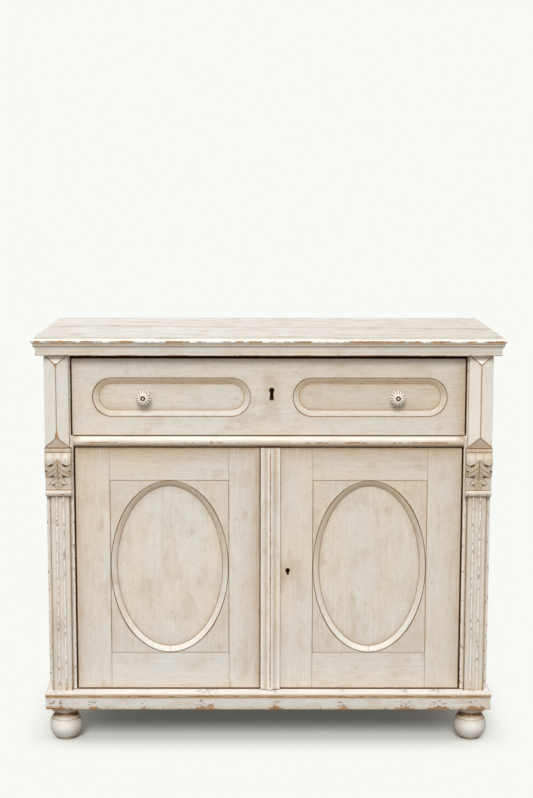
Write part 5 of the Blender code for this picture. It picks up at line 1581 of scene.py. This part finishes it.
def make_drawer(sizes):
    """Drawer front with two sunk panels and a keyhole, the box behind it, and the knobs."""
    low, high = node_box("drawer_front")
    (key_x, _), keyhole = keyhole_maker("drawer_keyhole", low[1], high[1], room=0.0014, head=0.0060,
                                        slot=0.0058, flare=0.0046)
    edge, cell = sizes.arris, 0.034
    knob_low, knob_high = node_box("drawer_knob_left")
    level = (knob_low[2] + knob_high[2]) / 2
    vs = spread(low[2] + edge, high[2] - edge, 0.005, FADE_ROWS)
    breaks = (low[0] + edge, key_x - cell, key_x + cell, high[0] - edge)
    radius = sizes.dish_height / 2
    cells = []
    for k, (x, span, tan) in enumerate(DISHES):
        maker = dish_maker((x, level), span / 2 - radius, radius, low[1], tan, sizes)
        cells.append((spread(breaks[2 * k], breaks[2 * k + 1], 0.008, FADE_ROWS), maker, False))
    cells.insert(1, (spread(breaks[1], breaks[2], 0.0018), keyhole, True))
    # The glaze at the top also hangs a painted shadow down from under the cornice; the dark edge lines are
    # dirt and painted shade in the gaps
    skin = pierced_board(low, high, edge, cells, vs, lambda u, v, y: stacked(u, y, v),
                         {"left": 0.4, "right": 0.4, "top": 0.3, "bottom": 0.4},
                         {"left": 0.36, "right": 0.90, "top": 0.22, "bottom": 0.0},
                         dict.fromkeys(("left", "right", "top", "bottom"), 2.2))
    skin.painted("drawer_front", "x")
    for node, grain in (("drawer_side_left", "y"), ("drawer_side_right", "y"), ("drawer_back", "x"),
                        ("drawer_bottom", "x")):
        board(node, sizes.arris).piece(f"{node}_planed", node, planed_pine(grain))
    for word, _ in SIDES:
        petalled_knob(f"drawer_knob_{word}", sizes)


KNOB_SWELL = 1.04                               # ball's radius over half the knob's width
KNOB_HEAD = 0.40                                # half its depth over the knob's depth
# Radius and rise of a knob's rosette, and of the screw's head in it
ROSETTE = ((0.0, 0.0050, 0.0056, 0.0056, 0.0050, 0.0040, 0.0030, 0.0),
           (-0.0004, -0.0004, 0.0000, 0.0006, 0.0010, 0.0008, 0.0001, 0.0001))
SCREW = ((0.0, 0.0022, 0.0023, 0.0018, 0.0010, 0.0), (0.0003, 0.0003, 0.0008, 0.0014, 0.0017, 0.0018))
ROSETTE_SEAT = 0.0008                           # how far behind the knob's front they start
PETAL_POINTS = 12                               # points round each petal


def petalled_knob(node, sizes):
    """Melon knob: a stem and a flattened ball spun about the knob's axis, its radius dipped between petals.

    The brass rosette in front, a rim round a hollow, and the screw's domed head in it are spun about the same
    axis.
    """
    low, high = node_box(node)
    centre_x, centre_z = (low[0] + high[0]) / 2, (low[2] + high[2]) / 2
    ball = (high[0] - low[0]) / 2 * KNOB_SWELL
    head_half = (high[1] - low[1]) * KNOB_HEAD
    ball_y = low[1] + head_half
    lean = np.radians(np.linspace(30, 158, 26))
    radius = joined([0.0, 0.0078, 0.0085, 0.0078, 0.0075], ball * np.sin(lean), [0.0055, 0.0])[:, None]
    depth = joined([high[1], high[1], high[1] - 0.001, high[1] - 0.0025, ball_y + head_half * 0.92],
                   ball_y + head_half * np.cos(lean), [low[1] + 0.0012, low[1] + 0.0016])[:, None]
    petal = joined(np.zeros(5), np.clip(np.sin(lean) * 1.3 - 0.2, 0, 1), [0.0, 0.0])[:, None]
    dull = joined(np.full(5, 0.8), np.zeros(len(lean)), [0.8, 0.8])[:, None]
    turn = np.linspace(0, math.tau, PETAL_POINTS * sizes.petals, endpoint=False)
    valley = 1 - np.abs(np.sin(sizes.petals * turn / 2))
    spun = radius * (1 - sizes.petal_dip * petal * valley ** 1.5)
    skin = Skin()
    skin.grid(stacked(centre_x + spun * np.cos(turn), depth, centre_z + spun * np.sin(turn)), 0.0,
              np.clip(valley ** 2 * petal * 1.9 + dull, 0, 1), wrap_columns=True)
    skin.piece(f"{node}_glazed", node, glazed_ceramic(), sharp=70)

    turn = np.linspace(0, math.tau, 40, endpoint=False)
    for name, finish, profile in (("rosette", pressed_brass(), ROSETTE), ("screw", turned_steel(), SCREW)):
        radius, rise = np.array(profile)[..., None]
        points = stacked(centre_x + radius * np.cos(turn), low[1] + ROSETTE_SEAT - rise,
                         centre_z + radius * np.sin(turn))
        skin = Skin()
        skin.grid(points, wrap_columns=True)
        skin.piece(f"{node}_{name}", node, finish, sharp=50)


# Ironwork and stage

FLOOR_REACH = 40.0
PAPER_CLOUD = 0.8                               # slow changes in the tone of the paper
FOOT_INSET = (0.06, 0.07)                       # the floor starts to fade this far inside the frame's bounds
SENSOR_HEIGHT = 36.0                            # millimetres


def make_ironwork():
    """Locks, bolts and pivot pins keep their solids, in dark forged iron."""
    for node, slot in SLOT_OF.items():
        if slot == "iron":
            dress(node, forged_iron())


def studio_paper(stage, colours):
    """Matt paper of the floor.

    The eye sees a pale, even floor with the soft shadow of the case, which fades into the background a short
    way from the case's footprint.
    """
    material, tree, shader, place = new_finish("matt_studio_paper", 1.0)
    shader.inputs["Specular IOR Level"].default_value = 0.0
    cloud = add(tree, "ShaderNodeTexNoise", {"Vector": place, "Scale": 1 / PAPER_CLOUD, "Detail": 2.0})
    tint = layered(tree, colours.floor, [(cloud.outputs["Fac"], None, [0.985 * c for c in colours.floor])])
    tree.links.new(tint, shader.inputs["Base Color"])
    footprint = (CAD_BOX[1][0] - FOOT_INSET[0], CAD_BOX[1][1] - FOOT_INSET[1], 0.0)
    away = place
    for how, *values in (("ABSOLUTE",), ("SUBTRACT", footprint), ("MAXIMUM", (0.0, 0.0, 0.0))):
        step = add(tree, "ShaderNodeVectorMath", dict(enumerate((away, *values))), operation=how)
        away = step.outputs["Vector"]
    away = add(tree, "ShaderNodeVectorMath", {0: away}, operation="LENGTH").outputs["Value"]
    share = add(tree, "ShaderNodeMapRange", dict(zip(RANGE, (away, *stage.floor_fade))),
                interpolation_type="SMOOTHSTEP")
    glow = add(tree, "ShaderNodeEmission", {"Color": opaque(colours.backdrop), "Strength": 1.0})
    faded = add(tree, "ShaderNodeMixShader", {0: share.outputs["Result"], 1: shader.outputs["BSDF"],
                                              2: glow.outputs["Emission"]})
    tree.links.new(faded.outputs["Shader"], tree.nodes["Material Output"].inputs["Surface"])
    return material


def make_floor(stage, colours):
    """Flat floor far wider than the picture, which casts no light on the case."""
    reach = np.linspace(-FLOOR_REACH, FLOOR_REACH, 9)
    x, y = np.meshgrid(reach, reach, indexing="ij")
    skin = Skin()
    skin.grid(stacked(x, y, 0.0))
    points, _, _, faces = skin.welded()
    mesh = bpy.data.meshes.new("studio_floor")
    mesh.from_pydata(points, [], [face[::-1] for face in faces])
    mesh.materials.append(studio_paper(stage, colours))
    floor = bpy.data.objects.new("studio_floor", mesh)
    bpy.context.scene.collection.objects.link(floor)
    floor.visible_diffuse = False


def make_sky(stage, colours):
    """White sky, stronger overhead and weaker from below, and the backdrop that the camera sees."""
    world = bpy.data.worlds.new("even_sky")
    world.use_nodes = True
    tree = world.node_tree
    sky = tree.nodes["Background"]
    sky.inputs["Color"].default_value = (1.0, 1.0, 1.0, 1.0)
    aim = add(tree, "ShaderNodeTexCoord").outputs["Generated"]
    upward = add(tree, "ShaderNodeSeparateXYZ", {0: aim}).outputs["Z"]
    around = add(tree, "ShaderNodeMapRange", dict(zip(RANGE, (upward, -0.1, 0.1, stage.ground, stage.sky))))
    overhead = add(tree, "ShaderNodeMapRange", {"Value": upward, "To Max": stage.zenith - stage.sky})
    glow = add(tree, "ShaderNodeMath", {0: around.outputs["Result"], 1: overhead.outputs["Result"]},
               operation="ADD")
    tree.links.new(glow.outputs[0], sky.inputs["Strength"])
    backdrop = add(tree, "ShaderNodeBackground", {"Color": opaque(colours.backdrop), "Strength": 1.0})
    seen = add(tree, "ShaderNodeLightPath").outputs["Is Camera Ray"]
    mixed = add(tree, "ShaderNodeMixShader", {0: seen, 1: sky.outputs[0], 2: backdrop.outputs[0]})
    tree.links.new(mixed.outputs[0], tree.nodes["World Output"].inputs["Surface"])
    bpy.context.scene.world = world


def make_lamp(stage):
    """One soft, high light from the front."""
    lamp = bpy.data.lights.new("high_front_light", "SUN")
    lamp.energy = stage.lamp
    lamp.angle = stage.lamp_spread
    light = bpy.data.objects.new("high_front_light", lamp)
    light.rotation_euler = (stage.lamp_tilt, -stage.lamp_turn, 0.0)
    bpy.context.scene.collection.objects.link(light)


def make_camera(stage):
    """Camera at the photograph's viewing angle: its axes worked out from yaw, pitch and roll."""
    view = bpy.data.cameras.new("photo_camera")
    view.sensor_fit = "VERTICAL"
    view.sensor_height = SENSOR_HEIGHT
    view.lens = stage.focal / IMAGE_HEIGHT * SENSOR_HEIGHT
    pitch, yaw, roll = stage.pitch, stage.yaw, stage.roll
    ahead = np.array([math.sin(yaw) * math.cos(pitch), math.cos(yaw) * math.cos(pitch), -math.sin(pitch)])
    right = np.array([math.cos(yaw), -math.sin(yaw), 0.0])
    up = np.cross(right, ahead)
    place = np.eye(4)
    place[:3, :3] = np.column_stack([math.cos(roll) * right + math.sin(roll) * up,
                                     math.cos(roll) * up - math.sin(roll) * right, -ahead])
    place[:3, 3] = stage.eye
    camera = bpy.data.objects.new("photo_camera", view)
    camera.matrix_world = Matrix(place.tolist())
    bpy.context.scene.collection.objects.link(camera)
    bpy.context.scene.camera = camera


def make_stage(stage, colours):
    """Pale floor, white sky, one soft high light from the front, and the camera."""
    bpy.context.scene.view_settings.view_transform = "Standard"
    make_floor(stage, colours)
    make_sky(stage, colours)
    make_lamp(stage)
    make_camera(stage)


# Operators and panel

class CUPBOARD_OT_top(bpy.types.Operator):
    """Nosing strip and the two tapering boards of the top"""

    bl_idname = "cupboard.top"
    bl_label = "Top"

    def execute(self, context):
        make_top(context.scene.cupboard_sizes)
        return {"FINISHED"}


class CUPBOARD_OT_mouldings(bpy.types.Operator):
    """Cornice, plinth and the half-round rail"""

    bl_idname = "cupboard.mouldings"
    bl_label = "Mouldings"

    def execute(self, context):
        sizes = context.scene.cupboard_sizes
        make_cornice(sizes)
        make_plinth(sizes)
        make_rail(sizes)
        return {"FINISHED"}


class CUPBOARD_OT_pilasters(bpy.types.Operator):
    """Fluted shafts, carved corbels and faceted blocks"""

    bl_idname = "cupboard.pilasters"
    bl_label = "Pilasters"

    def execute(self, context):
        make_pilasters(context.scene.cupboard_sizes)
        return {"FINISHED"}


class CUPBOARD_OT_case(bpy.types.Operator):
    """Boards of the case"""

    bl_idname = "cupboard.case"
    bl_label = "Case"

    def execute(self, context):
        make_case(context.scene.cupboard_sizes)
        return {"FINISHED"}


class CUPBOARD_OT_feet(bpy.types.Operator):
    """Turned bun feet"""

    bl_idname = "cupboard.feet"
    bl_label = "Feet"

    def execute(self, context):
        make_feet()
        return {"FINISHED"}


class CUPBOARD_OT_doors(bpy.types.Operator):
    """Doors with their oval panels and the cover strip"""

    bl_idname = "cupboard.doors"
    bl_label = "Doors"

    def execute(self, context):
        make_doors(context.scene.cupboard_sizes)
        return {"FINISHED"}


class CUPBOARD_OT_drawer(bpy.types.Operator):
    """Drawer with its sunk panels and petalled knobs"""

    bl_idname = "cupboard.drawer"
    bl_label = "Drawer"

    def execute(self, context):
        make_drawer(context.scene.cupboard_sizes)
        return {"FINISHED"}


class CUPBOARD_OT_ironwork(bpy.types.Operator):
    """Locks, bolts and pivot pins"""

    bl_idname = "cupboard.ironwork"
    bl_label = "Ironwork"

    def execute(self, context):
        make_ironwork()
        return {"FINISHED"}


class CUPBOARD_OT_stage(bpy.types.Operator):
    """Floor, light and camera"""

    bl_idname = "cupboard.stage"
    bl_label = "Stage"

    def execute(self, context):
        make_stage(context.scene.cupboard_stage, context.scene.cupboard_colours)
        return {"FINISHED"}


STEPS = (CUPBOARD_OT_top, CUPBOARD_OT_mouldings, CUPBOARD_OT_pilasters, CUPBOARD_OT_case, CUPBOARD_OT_feet,
         CUPBOARD_OT_doors, CUPBOARD_OT_drawer, CUPBOARD_OT_ironwork, CUPBOARD_OT_stage)


class CUPBOARD_PT_panel(bpy.types.Panel):
    """Lists the steps and the values that they use"""

    bl_idname = "CUPBOARD_PT_panel"
    bl_label = "Painted pine cupboard"
    bl_space_type = "VIEW_3D"
    bl_region_type = "UI"
    bl_category = "Cupboard"

    def draw(self, context):
        for step in STEPS:
            self.layout.operator(step.bl_idname)
        for key in GROUPS:
            group = getattr(context.scene, key)
            box = self.layout.box()
            for name in group.bl_rna.properties.keys():
                if name not in ("rna_type", "name"):
                    box.prop(group, name)


GROUPS = {"cupboard_colours": CupboardColours, "cupboard_sizes": CupboardSizes,
          "cupboard_stage": CupboardStage}


def register():
    """Registers the classes and hangs the property groups on the scene."""
    for item in (*GROUPS.values(), *STEPS, CUPBOARD_PT_panel):
        bpy.utils.register_class(item)
    for key, group in GROUPS.items():
        setattr(bpy.types.Scene, key, bpy.props.PointerProperty(type=group))


def unregister():
    """Takes the property groups off the scene and unregisters the classes."""
    for key in GROUPS:
        delattr(bpy.types.Scene, key)
    for item in reversed((*GROUPS.values(), *STEPS, CUPBOARD_PT_panel)):
        bpy.utils.unregister_class(item)


def main():
    """Registers the classes, then builds every piece and the stage."""
    register()
    bpy.ops.cupboard.top()
    bpy.ops.cupboard.mouldings()
    bpy.ops.cupboard.pilasters()
    bpy.ops.cupboard.case()
    bpy.ops.cupboard.feet()
    bpy.ops.cupboard.doors()
    bpy.ops.cupboard.drawer()
    bpy.ops.cupboard.ironwork()
    bpy.ops.cupboard.stage()


if __name__ == "__main__":
    main()
